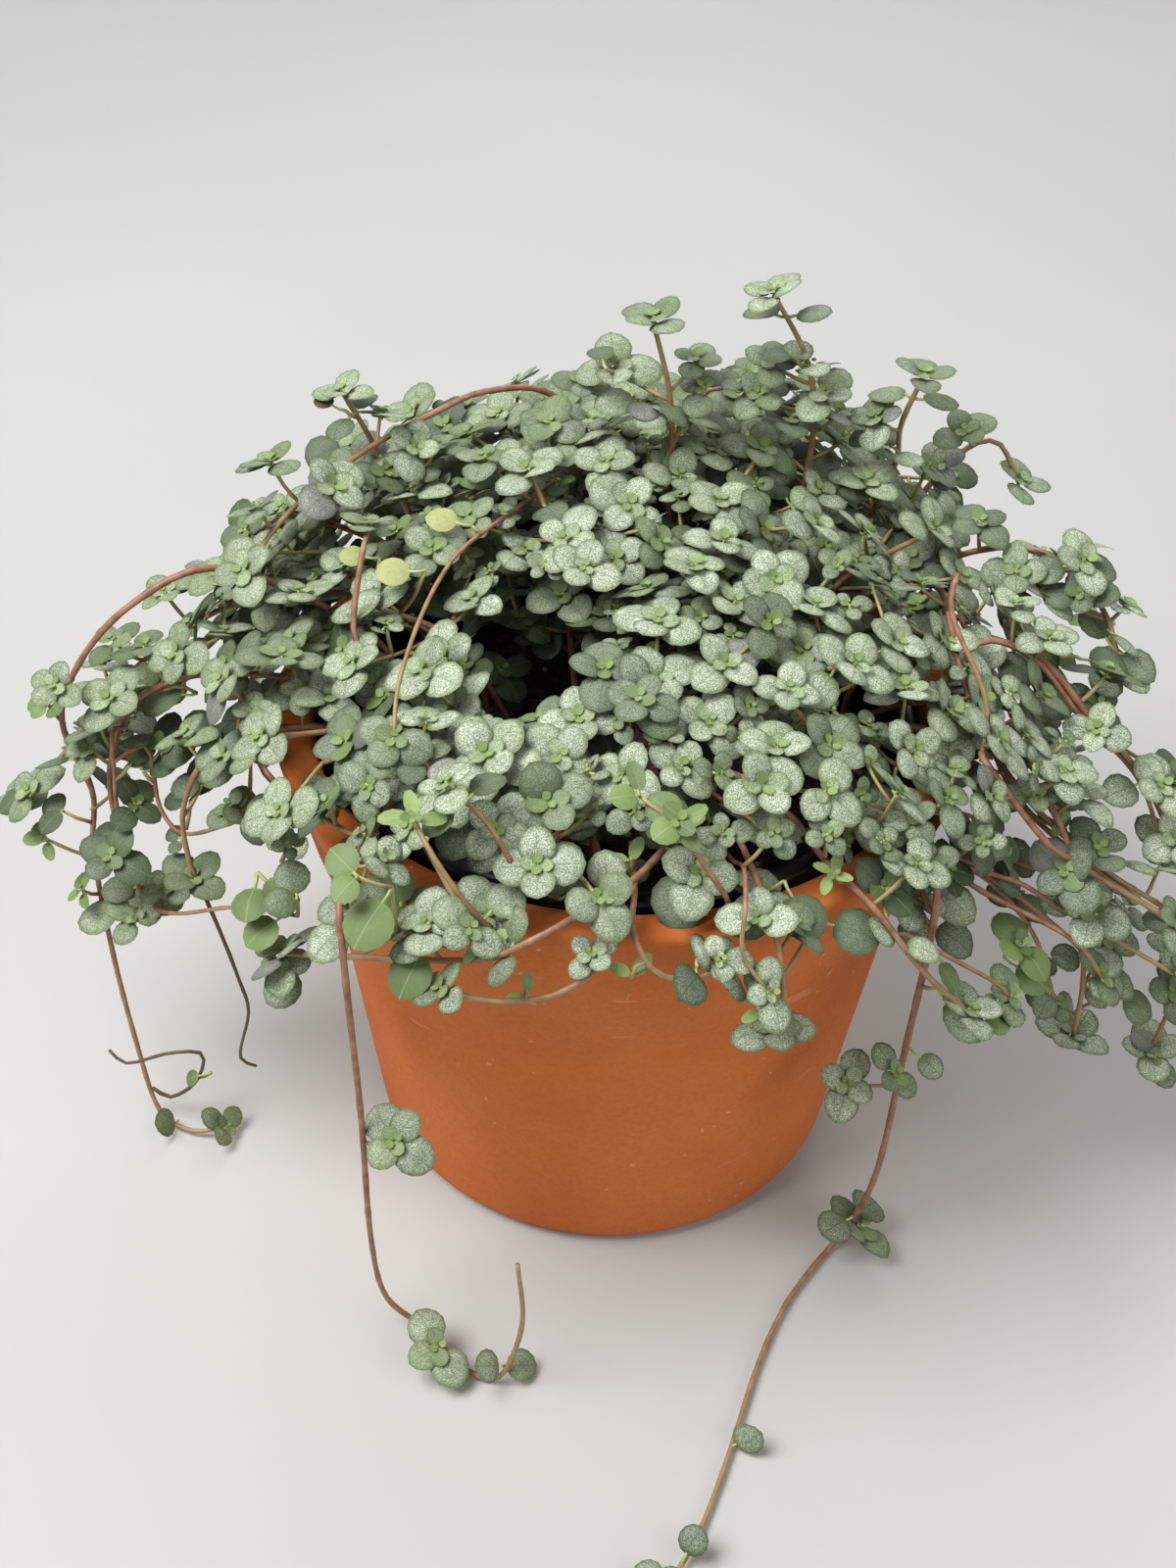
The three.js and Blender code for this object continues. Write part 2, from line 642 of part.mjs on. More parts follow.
// The mound's stems fan out from roots set in a sunflower pattern, each bent clear of the rest.
function growMoundStem(index, number) {
  const share = (index + 0.5) / MOUND.stems;
  const rootRadius = MOUND.rootRadius * Math.sqrt(share);
  for (const turn of STEM_TURNS) {
    const angle = index * GOLDEN_ANGLE + turn * DEGREE;
    const root = polar(rootRadius, angle, 0);
    const drop = drawBetween(0, MOUND.tipDrop, number, 7);
    const tip = onMound(moundRadius(angle) * Math.sqrt(share), angle, drop);
    const bend = root.clone().lerp(tip, MOUND.bendOut);
    bend.z = COLLAR_Z + MOUND.bendUp * (tip.z - COLLAR_Z);
    const name = `mound_stem_${String(index + 1).padStart(2, '0')}`;
    const plant = newPlant(name, number, [root.x, root.y], [bend, tip]);
    const points = pointsAlong(plant.main);
    if (stemFits(points, number)) {
      keepStem(points, number);
      plant.angle = angle;
      plant.share = share;
      return plant;
    }
  }
  return null;
}

function growMoundShoots(plant) {
  const top = stalkPoint(plant.main, 1);
  const radius = Math.hypot(top.x, top.y);
  MOUND_SHOOTS.forEach(([around, outward, crownDrop, edgeDrop], i) => {
    const drop = crownDrop + edgeDrop * plant.share * plant.share;
    const from = drawBetween(MOUND_LEAVES.shootFrom, MOUND_LEAVES.shootTo, plant.number, i, 8);
    const start = stalkPoint(plant.main, from);
    for (const stretch of SHOOT_STRETCHES) {
      const reach = Math.max(6, radius + outward * stretch);
      const tip = onMound(reach, plant.angle + around * stretch / Math.max(14, reach), drop * stretch + 1);
      const knee = start.clone().lerp(tip, 0.5);
      knee.z = start.z + 0.3 * (tip.z - start.z);
      if (growShoot(plant, [start, knee, tip])) {
        const size = drawBetween(MOUND_LEAVES.smallest, MOUND_LEAVES.largest, plant.number, i, 10);
        growRosette(plant, tip, moundAxis(tip), size, 4, i + 1);
        return;
      }
    }
  });
}

function growMoundTip(plant) {
  const tip = stalkPoint(plant.main, 1);
  const size = drawBetween(MOUND_LEAVES.smallest, MOUND_LEAVES.largest, plant.number, 11);
  growRosette(plant, tip, moundAxis(tip), size, 4, 20);
}

function growPlants() {
  const plans = Object.entries(LONG_STEMS);
  const longPlants = plans.map(growLongStem);
  const moundPlants = [];
  for (let i = 0; i < MOUND.stems; i += 1) {
    moundPlants.push(growMoundStem(i, plans.length + i));
  }
  const mound = moundPlants.filter((plant) => plant !== null);
  longPlants.forEach((plant, i) => growLeavesOnLongStem(plant, plans[i][1]));
  mound.forEach(growMoundTip);
  mound.forEach(growMoundShoots);
  return [...longPlants, ...mound];
}

function plantGeometry(plant) {
  const stalks = [plant.main, ...plant.shoots];
  return toGeometry(fuse([...stalks.map(stalkSolid), ...plant.whorls.map(whorlSolid)]));
}

// ---- Pots and soil ------------------------------------------------------------------------------

function arcPoints(centreR, centreZ, radius, fromDegrees, toDegrees, steps) {
  const points = [];
  for (let i = 0; i <= steps; i += 1) {
    const angle = (fromDegrees + (toDegrees - fromDegrees) * i / steps) * DEGREE;
    points.push([centreR + radius * Math.cos(angle), centreZ + radius * Math.sin(angle)]);
  }
  return points;
}

function clayPotGeometry() {
  const corner = CLAY.cornerRadius;
  const rounding = CLAY.rimRounding;
  const innerRim = CLAY.rimRadius - CLAY.wall;
  const profile = [
    [0, 0],
    ...arcPoints(CLAY.baseRadius - corner + 0.5, corner, corner, -90, -8, 3),
    [CLAY.bandRadius, CLAY.bandZ],
    ...arcPoints(CLAY.rimRadius - rounding, CLAY.height - rounding, rounding, -8, 90, 2),
    ...arcPoints(innerRim + rounding, CLAY.height - rounding, rounding, 90, 180, 2),
    [CLAY.bandRadius - CLAY.wall, CLAY.bandZ],
    [CLAY.baseRadius - CLAY.wall, CLAY.floor + 4],
    [CLAY.baseRadius - CLAY.wall - 2, CLAY.floor],
    [0, CLAY.floor],
  ];
  return lathe(profile, CLAY.segments);
}

function linerGeometry() {
  const foot = CLAY.floor + GAP;
  const top = foot + LINER.height;
  const wall = LINER.wall;
  const underLip = top - LINER.lipDrop;
  const profile = [
    [0, foot],
    [LINER.baseRadius, foot],
    [LINER.topRadius, underLip],
    [LINER.lipRadius, underLip],
    [LINER.lipRadius, top - 0.6],
    [LINER.lipRadius - 0.6, top],
    [LINER.topRadius - wall, top],
    [LINER.baseRadius - wall, foot + wall],
    [0, foot + wall],
  ];
  return lathe(profile, LINER.segments);
}

function soilLump(x, y) {
  return SOIL.lump * Math.sin(x / 5.1 + 1) * Math.cos(y / 6.3);
}

function soilGeometry(roots) {
  const bottom = CLAY.floor + GAP + LINER.wall + GAP;
  const slope = (LINER.topRadius - LINER.baseRadius) / (LINER.height - LINER.lipDrop);
  const footRadius = LINER.baseRadius - LINER.wall - 1.6;
  const edgeRadius = footRadius + slope * (SOIL.top - bottom);
  const profile = [[0, bottom], [footRadius, bottom], [edgeRadius, SOIL.top - 1]];
  for (let ring = SOIL.rings - 1; ring >= 0; ring -= 1) {
    profile.push([edgeRadius * ring / SOIL.rings, SOIL.top]);
  }
  const body = lathe(profile, SOIL.segments);
  const position = body.attributes.position;
  for (let i = 0; i < position.count; i += 1) {
    if (position.getZ(i) > SOIL.top - 0.5) {
      position.setZ(i, SOIL.top + soilLump(position.getX(i), position.getY(i)));
    }
  }
  let soil = toSolid(body);
  const halfHole = STEM.radius + SOIL.holeRoom;
  for (const [x, y] of roots) {
    const hole = new THREE.BoxGeometry(2 * halfHole, 2 * halfHole, 2 * SOIL.holeDepth);
    hole.translate(x, y, SOIL.top);
    soil = soil.subtract(toSolid(hole));
  }
  return toGeometry(soil);
}

// ---- The assembly -------------------------------------------------------------------------------

function piece(name, geometry, material) {
  const mesh = new THREE.Mesh(geometry, material);
  mesh.name = name;
  return mesh;
}

const plants = growPlants();
const pottedPilea = new THREE.Group();
pottedPilea.add(piece('terracotta_pot', clayPotGeometry(), TERRACOTTA));
pottedPilea.add(piece('nursery_pot', linerGeometry(), BLACK_PLASTIC));
pottedPilea.add(piece('soil', soilGeometry(plants.map((plant) => plant.root)), SOIL_MIX));
for (const plant of plants) {
  pottedPilea.add(piece(plant.name, plantGeometry(plant), FOLIAGE));
}

export default pottedPilea;
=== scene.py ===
"""A potted pilea on its CAD frame: clay cover pot, nursery pot, soil and small-leaved trailing stems."""

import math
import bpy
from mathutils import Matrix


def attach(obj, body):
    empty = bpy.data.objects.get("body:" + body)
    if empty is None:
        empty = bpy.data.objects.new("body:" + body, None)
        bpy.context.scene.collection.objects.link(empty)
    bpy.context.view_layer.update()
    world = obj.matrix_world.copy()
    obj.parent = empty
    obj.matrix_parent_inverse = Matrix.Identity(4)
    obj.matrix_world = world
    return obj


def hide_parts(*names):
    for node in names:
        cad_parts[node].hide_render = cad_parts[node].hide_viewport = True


bl_info = {
    "name": "Potted Pilea",
    "version": (1, 0, 0),
    "blender": (4, 5, 0),
    "location": "3D View > Sidebar > Pilea",
    "description": "Models a trailing houseplant with round silver-green leaves in a clay cover pot",
    "category": "Add Mesh",
}

from typing import NamedTuple

import bmesh
import bpy
import numpy as np
from bpy.props import FloatProperty, FloatVectorProperty, IntProperty, PointerProperty
from mathutils import Matrix, Vector

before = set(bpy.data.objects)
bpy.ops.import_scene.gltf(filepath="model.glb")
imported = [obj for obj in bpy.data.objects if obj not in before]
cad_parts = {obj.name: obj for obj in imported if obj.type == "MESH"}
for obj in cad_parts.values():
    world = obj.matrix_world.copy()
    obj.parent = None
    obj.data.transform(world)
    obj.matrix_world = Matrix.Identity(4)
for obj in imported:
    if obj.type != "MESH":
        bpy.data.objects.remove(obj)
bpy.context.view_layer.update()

# ---- Sizes, in millimetres unless they say otherwise, shared with the CAD part ------------------

MM = 0.001
DEGREE = math.pi / 180
TAU = 2 * math.pi
UP = np.array([0.0, 0.0, 1.0])
GAP = 0.3

CLAY_HEIGHT, CLAY_BASE, CLAY_CORNER, CLAY_BAND_Z = 110, 52, 6, 82
CLAY_BAND, CLAY_RIM, CLAY_WALL, CLAY_FLOOR, CLAY_ROUNDING = 62.4, 70, 7.6, 8, 1.6
LINER_BASE, LINER_TOP, LINER_LIP, LINER_WALL, LINER_HEIGHT, LINER_LIP_DROP = 40.5, 57.4, 60.2, 1.2, 101, 5
SOIL_TOP, SOIL_LUMP, HOLE_DEPTH = 98, 1.1, 10
COLLAR_Z = SOIL_TOP + 4.5

STEM_STEP, SHOOT_STEP, POINTS_ON_CURVE = 15, 9, 201
BLADE_FOOT_DEGREES, FOOT_SPOTS, FOOT_REACH, OVER_RINGS = 50, (0.7, 1.5), 2, ((1, 12), (0.5, 6))

# The pairs of a rosette: tilt in degrees, length of the leaf stalks and size.
ROSETTE_LOWER = (2, 1.7, 1.0)
ROSETTE_UPPER = (17, 1.9, 0.86)
PAIR_RADIUS, PAIR_TILT, PAIR_STALK, PAIR_LIFT = 3.3, 8, 1.1, 0.5
CLUSTER_SIZES, CLUSTER_SWINGS, CLUSTER_LEAN = (3.3, 4), (35, 80), 0.45
CLUSTER_KNEE, CLUSTER_TIP, TIP_LIFT = (2.6, 1.2), (4.4, 4.2), 0.9
LEAN_RANGE, LEAST_SIZE = (-6, 8), 0.9
RIM_OUT, RIM_OVER_Z = 1.08, CLAY_HEIGHT + 5

STEM_TO_STEM, STEM_TO_LEAF, LEAF_TO_LEAF, FOOT_TO_OTHERS = 2.3, 1.5, 1.15, 1.8
LEAF_TO_POT, SHOOT_TO_POT, INNER_WALL = 0.8, 1, LINER_TOP - 3
LEAF_TRIES = ((0, 1), (12, 1), (-12, 1), (20, 0.95), (-20, 0.92), (0, 0.85), (14, 0.75))
WHORL_TURNS = (0, 30, 60, -15, 15)
STEM_TURNS = (0, 4, -4, 8, -8, 12, -12, 17, -17, 22, -22)
SHOOT_STRETCHES = (1, 0.8, 1.2, 0.62)
CLUSTER_KEY, MOUND_TIP_KEY, PAIR_KEY, TIP_KEY = 10, 20, 30, 40

MOUND_STEMS, MOUND_ROOT_RADIUS, MOUND_RADIUS, MOUND_FRONT_PULL = 16, 41, 88, 22
MOUND_EDGE_Z, MOUND_CROWN, MOUND_BACK_RISE = 126, 26, 0.13
HOLLOW_X, HOLLOW_Y, HOLLOW_RADIUS, HOLLOW_DEPTH, HOLLOW_CLEAR = -17, -16, 20, 12, 15
MOUND_TIP_DROP, MOUND_BEND_OUT, MOUND_BEND_UP = 5, 0.42, 0.72
MOUND_LEAF_SPREAD, MOUND_LEAF_UP, MOUND_LEAF_FORWARD, MOUND_LEAF_BACK = 75, 1.3, 0.3, 40
MOUND_LEAF_SIZES, MOUND_SHOOT_FROM = (3.5, 4.1), (0.62, 0.78)
# Each side shoot of a mound stem: how far it goes around and outward, and its drop at the crown and edge.
MOUND_SHOOTS = ((14, 2, 2, 2), (-13, 3, 3, 16))
MOUND_SHOOT_REACH, MOUND_TURN_REACH, MOUND_KNEE_RISE = 6, 14, 0.3
GOLDEN_ANGLE = 137.508 * DEGREE


class StemPlan(NamedTuple):
    """A long stem. The places along it are shares of its length."""

    root: tuple  # where it stands in the soil
    route: list  # the points that it runs through
    clusters: list = []  # where it has rosettes on short side shoots
    pairs: list = []  # where it has a pair of leaves
    tip: float = 3.7  # the leaf radius of the rosette at its end, 0 for none
    fuller: list = []  # stretches that carry more rosettes here than in the CAD part
    tendril_from: float = 1  # where a dried tendril leaves it
    tendril: list = []  # the points that the tendril runs through


LONG_STEMS = {
    "left_trailing_stem": StemPlan(
        (-46, 8),
        [(-66, 7, 128), (-82, 1, 137), (-97, -5, 131), (-108, -7, 118), (-113, -8, 104), (-110, -6, 84),
         (-111, -9, 70), (-109, -14, 45), (-106, -18, 22), (-102, -22, 3), (-94, -27, 1.8), (-86, -27, 3)],
        clusters=[0.55], pairs=[0.95], tip=3, fuller=[(0.12, 0.24), (0.44, 0.62)], tendril_from=0.9,
        tendril=[(-99, -21, 6), (-92, -23, 14), (-90, -22, 22), (-97, -23, 23), (-107, -23, 19),
                 (-111, -22, 22)]),
    "left_hanging_stem": StemPlan(
        (-46, -7),
        [(-68, -9, 119), (-86, -8, 117), (-99, -8, 108), (-104, -12, 92), (-101, -17, 76), (-98, -20, 65)],
        clusters=[0.72], fuller=[(0.2, 0.95)]),
    "left_outer_stem": StemPlan(
        (-42, 19),
        [(-66, 18, 122), (-88, 13, 116), (-106, 9, 101), (-118, 5, 86), (-127, 2, 76)],
        clusters=[0.76], fuller=[(0.2, 0.95)]),
    "left_lower_stem": StemPlan(
        (-41, -21),
        [(-62, -21, 116), (-78, -22, 111), (-86, -24, 96), (-85, -27, 80)],
        clusters=[0.7], fuller=[(0.25, 0.95)], tendril_from=0.97,
        tendril=[(-80, -31, 70), (-77, -32, 57), (-76, -31, 46), (-79, -31, 32), (-76, -30, 28)]),
    "front_left_hanging_stem": StemPlan(
        (-35, -30),
        [(-45, -56, 117), (-47, -70, 118), (-46, -77, 107), (-45, -77, 69), (-45, -76, 31), (-43, -75, 10),
         (-36, -76, 1.7), (-30, -82, 1.5), (-24, -87, 1.6), (-18, -88, 3), (-14, -86, 18), (-15, -85, 36)],
        clusters=[0.47, 0.79], pairs=[0.87], tip=0, fuller=[(0.12, 0.26)]),
    "front_left_level_stem": StemPlan(
        (11, -41),
        [(11, -50, 118), (5, -61, 118), (-3, -71, 119), (-12, -77, 117), (-21, -78, 112), (-33, -74, 107),
         (-46, -68, 101), (-60, -61, 94)],
        clusters=[0.74], pairs=[0.6], tip=3.6, fuller=[(0.6, 0.98)]),
    "front_arc_stem": StemPlan(
        (-4, -44),
        [(-1, -62, 115), (0, -71, 115), (-2, -77, 110), (-9, -79, 105), (-16, -80, 104), (-22, -81, 105),
         (-28, -82, 108)],
        pairs=[0.5], tip=3),
    "front_drooping_stem": StemPlan(
        (3, -46),
        [(4, -62, 115), (4, -73, 115), (8, -77, 110), (14, -77, 108), (19, -76, 110)],
        pairs=[0.62], tip=3.5),
    "front_short_stem": StemPlan(
        (20, -42),
        [(25, -58, 117), (29, -70, 113), (31, -76, 103), (30, -76, 95)],
        clusters=[0.7], fuller=[(0.3, 0.98)]),
    "front_right_reaching_stem": StemPlan(
        (29, -36),
        [(38, -54, 117), (47, -61, 112), (57, -64, 100), (67, -62, 88)],
        pairs=[0.74], tip=3.8, fuller=[(0.25, 0.5)]),
    "front_right_hanging_stem": StemPlan(
        (40, -23),
        [(53, -36, 116), (58, -46, 115), (60, -51, 103), (59, -52, 65), (58, -52, 30), (55, -50, 10),
         (52, -50, 2.2), (46, -58, 1.6), (40, -68, 1.5), (34, -83, 1.5), (28, -103, 1.5), (22, -120, 1.6),
         (16, -132, 3)],
        clusters=[0.38, 0.65], pairs=[0.87], tip=3, fuller=[(0.1, 0.2)]),
    "right_long_stem": StemPlan(
        (46, 6),
        [(66, 5, 126), (81, -4, 128), (92, -11, 119), (104, -14, 107), (114, -16, 90), (120, -18, 74),
         (120, -22, 57), (117, -26, 42)],
        clusters=[0.6, 0.84], fuller=[(0.15, 0.7), (0.9, 0.98)]),
    "right_arching_stem": StemPlan(
        (42, 16),
        [(54, 13, 130), (61, 4, 138), (64, -6, 132), (70, -17, 119), (82, -24, 106), (97, -29, 95),
         (112, -30, 85), (120, -31, 73)],
        clusters=[0.64, 0.86], fuller=[(0.5, 0.95)]),
    "right_lower_stem": StemPlan(
        (45, -11),
        [(67, -20, 119), (82, -28, 112), (91, -34, 94), (96, -34, 70), (98, -31, 50)],
        clusters=[0.7], fuller=[(0.2, 0.75)]),
    "right_upper_stem": StemPlan(
        (41, 22),
        [(68, 25, 132), (85, 21, 136), (96, 13, 129), (101, 5, 118)],
        clusters=[0.76], tip=3.8, fuller=[(0.3, 0.95)]),
    "tall_sprig": StemPlan(
        (25, 27),
        [(31, 33, 124), (36, 35, 143), (36, 34, 160), (33, 33, 172), (26, 33, 184)],
        clusters=[0.68], pairs=[0.84], tip=3.5, fuller=[(0.6, 0.78)]),
    "top_sprig": StemPlan(
        (5, 31),
        [(8, 31, 125), (8, 30, 150), (7, 29, 164), (3, 28, 180)],
        clusters=[0.72], tip=3.5, fuller=[(0.62, 0.8)]),
    "back_right_sprig": StemPlan(
        (34, 31),
        [(48, 36, 128), (54, 36, 146), (54, 35, 156), (57, 35, 167)],
        pairs=[0.8], tip=3.5, fuller=[(0.6, 0.9)]),
    "right_nodding_sprig": StemPlan(
        (38, 26),
        [(57, 42, 128), (68, 46, 143), (76, 46, 147), (82, 45, 138)],
        pairs=[0.7], tip=3.5, fuller=[(0.5, 0.95)]),
    "left_sprig": StemPlan(
        (-36, 25),
        [(-45, 30, 132), (-53, 32, 149), (-58, 31, 160)],
        pairs=[0.8], tip=3, fuller=[(0.5, 0.75)]),
    "left_arch_stem": StemPlan(
        (-7, 43),
        [(-8, 47, 138), (-17, 47, 153), (-30, 42, 156), (-41, 37, 153), (-55, 24, 150), (-67, 9, 145),
         (-74, -1, 138)],
        clusters=[0.74], fuller=[(0.7, 0.95)]),
    "back_arch_stem": StemPlan(
        (12, 43),
        [(9, 47, 140), (13, 47, 154), (22, 46, 157), (30, 49, 152), (38, 54, 146)],
        pairs=[0.7], fuller=[(0.75, 0.98)]),
    "back_left_hanging_stem": StemPlan(
        (-24, 40),
        [(-36, 62, 121), (-43, 77, 117), (-46, 85, 100), (-46, 87, 70), (-44, 87, 44)],
        clusters=[0.66], fuller=[(0.2, 0.6)]),
    "back_trailing_stem": StemPlan(
        (7, 46),
        [(10, 70, 121), (12, 84, 114), (13, 90, 95), (12, 92, 60), (12, 92, 28), (14, 96, 6),
         (21, 105, 1.8), (32, 110, 1.6), (43, 108, 3)],
        clusters=[0.5], pairs=[0.86], tip=3.4, fuller=[(0.12, 0.4)]),
    "back_right_hanging_stem": StemPlan(
        (30, 36),
        [(46, 56, 121), (57, 69, 117), (63, 77, 98), (65, 79, 74), (63, 79, 54)],
        clusters=[0.7], fuller=[(0.2, 0.7)]),
    "side_left_hanging_stem": StemPlan(
        (-37, 29),
        [(-60, 42, 121), (-76, 50, 116), (-84, 54, 97), (-86, 55, 72)],
        clusters=[0.7], fuller=[(0.2, 0.8)]),
}


# ---- Where the stems and leaves go --------------------------------------------------------------

# The mixing numbers of the draws, the same as in the CAD part.
WORD, DRAW_START, DRAW_SHIFT = 0xFFFFFFFF, 2654435769, 17
DRAW_MIXES = (2246822519, 15), (3266489917, 13)


def draw(*keys):
    """A fixed draw between 0 and 1 for a set of whole numbers, the same on every run."""
    value = DRAW_START
    for key in keys:
        value ^= key + DRAW_SHIFT
        for factor, shift in DRAW_MIXES:
            value = ((value & WORD) * factor) & WORD
            value ^= value >> shift
    return value / (WORD + 1)


def draw_between(low, high, *keys):
    return low + (high - low) * draw(*keys)


def draw_within(most, *keys):
    return draw_between(-most, most, *keys)


def lengths(rows):
    return np.linalg.norm(rows, axis=1)


def unit(vector):
    return vector / np.linalg.norm(vector)


def polar(radius, angle, z=0.0):
    return np.array([radius * math.cos(angle), radius * math.sin(angle), z])


def square_to(axis):
    """Two directions square to the axis and to each other. The first one is level."""
    level = np.array([1.0, 0.0, 0.0]) if abs(axis[2]) > 0.9999 else unit(np.array([-axis[1], axis[0], 0.0]))
    return level, np.cross(axis, level)


class Stalk:
    """A smooth curve through its points, walked in a few straight steps of equal length. Only the
    stretches that lie over the others have a thickness of their own."""

    marks = np.linspace(0, 1, POINTS_ON_CURVE)

    def __init__(self, points, step, thickness=None):
        points = np.array(points, float)
        self.knots = np.vstack([2 * points[0] - points[1], points, 2 * points[-1] - points[-2]])
        self.thickness = thickness
        runs = lengths(np.diff(self.at(self.marks), axis=0))
        self.walked = np.concatenate([[0.0], np.cumsum(runs)])
        self.length = self.walked[-1]
        self.steps = max(1, math.floor(self.length / step + 0.5))
        self.joints = self.smooth(np.arange(self.steps + 1) / self.steps)

    def at(self, marks):
        spans = len(self.knots) - 3
        place = np.asarray(marks) * spans
        index = np.minimum(place.astype(int), spans - 1)
        ahead = (place - index)[:, None]
        before, start, end, after = (self.knots[index + i] for i in range(4))
        leaving, arriving = (end - before) / 2, (after - start) / 2
        return (start + ahead * leaving + ahead ** 2 * (3 * (end - start) - 2 * leaving - arriving)
                + ahead ** 3 * (2 * (start - end) + leaving + arriving))

    def smooth(self, shares):
        return self.at(np.interp(np.asarray(shares) * self.length, self.walked, self.marks))

    def point(self, share):
        place = min(share * self.steps, self.steps - 1e-9)
        step = int(place)
        return self.joints[step] + (self.joints[step + 1] - self.joints[step]) * (place - step)

    def direction(self, share):
        step = min(int(share * self.steps), self.steps - 1)
        return unit(self.joints[step + 1] - self.joints[step])

    def spots(self):
        count = math.ceil(self.length)
        return np.array([self.point(i / count) for i in range(count + 1)])


class Leaf:
    """A round blade on its stalk, at a whorl."""

    def __init__(self, base, axis, turn, tilt_degrees, stalk, radius):
        first, second = square_to(axis)
        tilt = tilt_degrees * DEGREE
        flat = first * math.cos(turn) + second * math.sin(turn)
        reach = stalk + radius
        foot = stalk + radius * (1 - math.cos(BLADE_FOOT_DEGREES * DEGREE))
        rise = max(0, reach - foot) * math.tan(tilt)
        self.base, self.axis = base, axis
        self.turn, self.tilt_degrees, self.stalk, self.plan_radius = turn, tilt_degrees, stalk, radius
        self.centre = base + flat * reach + axis * rise
        self.normal = unit(axis - flat * math.tan(tilt))
        self.outward = unit(flat + axis * math.tan(tilt))
        self.radius = radius / math.cos(tilt)
        self.foot_spots = np.array([base + flat * away for away in FOOT_SPOTS])

    def foot(self):
        return self.centre - self.outward * self.radius

    def over(self):
        """Points over the blade: its rim, half way in, and its middle."""
        first, second = square_to(self.normal)
        return self.centre + self.radius * (OVER_PATTERN[:, :1] * first + OVER_PATTERN[:, 1:] * second)


def over_pattern():
    rows = [(0.0, 0.0)]
    for share, count in OVER_RINGS:
        rows += [(share * math.cos(i * TAU / count), share * math.sin(i * TAU / count)) for i in range(count)]
    return np.array(rows)


OVER_PATTERN = over_pattern()


def disc_distance(points, leaf):
    """How far each point is from the blade, taken as a flat disc."""
    offset = points - leaf.centre
    height = offset @ leaf.normal
    outward = np.maximum(0, lengths(offset - height[:, None] * leaf.normal) - leaf.radius)
    return np.hypot(height, outward)


def clay_radius_at(z):
    return np.where(z < CLAY_BAND_Z, CLAY_BASE + (CLAY_BAND - CLAY_BASE) * z / CLAY_BAND_Z,
                    CLAY_BAND + (CLAY_RIM - CLAY_BAND) * (z - CLAY_BAND_Z) / (CLAY_HEIGHT - CLAY_BAND_Z))


def hits_pot_or_floor(points, margin):
    radius = np.hypot(points[:, 0], points[:, 1])
    z = points[:, 2]
    outside = (z > CLAY_HEIGHT + margin) | (radius > clay_radius_at(z) + margin)
    inside_hit = (radius > INNER_WALL) | (z < SOIL_TOP + SOIL_LUMP + margin)
    return bool(np.any((z < margin) | (~outside & inside_hit)))


class Room:
    """What is placed so far: points along stems and over leaves, and the leaves as discs."""

    def __init__(self):
        self.stems, self.stem_owner = np.zeros((0, 3)), np.zeros(0, int)
        self.spots, self.spot_owner = np.zeros((0, 3)), np.zeros(0, int)
        self.leaves = []
        self.centres, self.radii = np.zeros((0, 3)), np.zeros(0)

    def keep_stem(self, points, owner):
        self.stems = np.vstack([self.stems, points])
        self.stem_owner = np.concatenate([self.stem_owner, np.full(len(points), owner)])

    def keep_leaf(self, leaf, owner):
        points = np.vstack([leaf.over(), leaf.foot_spots])
        self.spots = np.vstack([self.spots, points])
        self.spot_owner = np.concatenate([self.spot_owner, np.full(len(points), owner)])
        self.leaves.append(leaf)
        self.centres = np.vstack([self.centres, leaf.centre])
        self.radii = np.append(self.radii, leaf.radius)

    def near_leaves(self, centre, reach):
        """The leaves whose blades come within reach of the centre."""
        near = lengths(self.centres - centre) <= self.radii + reach
        return [self.leaves[i] for i in np.flatnonzero(near)]

    def stem_fits(self, points, owner):
        others = self.stems[self.stem_owner != owner]
        return len(others) == 0 or all(np.min(lengths(others - point)) > STEM_TO_STEM for point in points)

    def clear_of_leaves(self, points):
        middle = points.mean(axis=0)
        near = self.near_leaves(middle, np.max(lengths(points - middle)) + STEM_TO_LEAF)
        return all(np.min(disc_distance(points, leaf)) > STEM_TO_LEAF for leaf in near)

    def leaf_fits(self, leaf, owner):
        points = np.vstack([leaf.over(), leaf.foot_spots])
        stems = self.stems[self.stem_owner != owner]
        if (hits_pot_or_floor(leaf.over(), LEAF_TO_POT) or touches(stems, leaf, STEM_TO_LEAF)
                or touches(self.spots, leaf, LEAF_TO_LEAF)):
            return False
        foreign = np.vstack([stems, self.spots[self.spot_owner != owner]])
        if len(foreign) and any(np.min(lengths(foreign - spot)) < FOOT_TO_OTHERS for spot in leaf.foot_spots):
            return False
        near = self.near_leaves(leaf.centre, leaf.radius + FOOT_REACH)
        return all(np.min(disc_distance(points, other)) > LEAF_TO_LEAF for other in near)

    def fine_leaf_fits(self, leaf, clearance):
        """The same test with less room, for the leaves that only the dressed plant has."""
        over = leaf.over()
        far_stems = self.stems[lengths(self.stems - leaf.base) > FINE_OWN_STEM]
        if hits_pot_or_floor(over, FINE_LEAF_TO_POT) or touches(far_stems, leaf, clearance + FINE_STEM_ROOM):
            return False
        near = self.near_leaves(leaf.centre, leaf.radius + clearance)
        return all(np.min(disc_distance(over, other)) >= clearance
                   and np.min(disc_distance(other.over(), leaf)) >= clearance for other in near)


def touches(points, leaf, clearance):
    near = points[lengths(points - leaf.centre) < leaf.radius + clearance]
    return len(near) > 0 and bool(np.min(disc_distance(near, leaf)) < clearance)


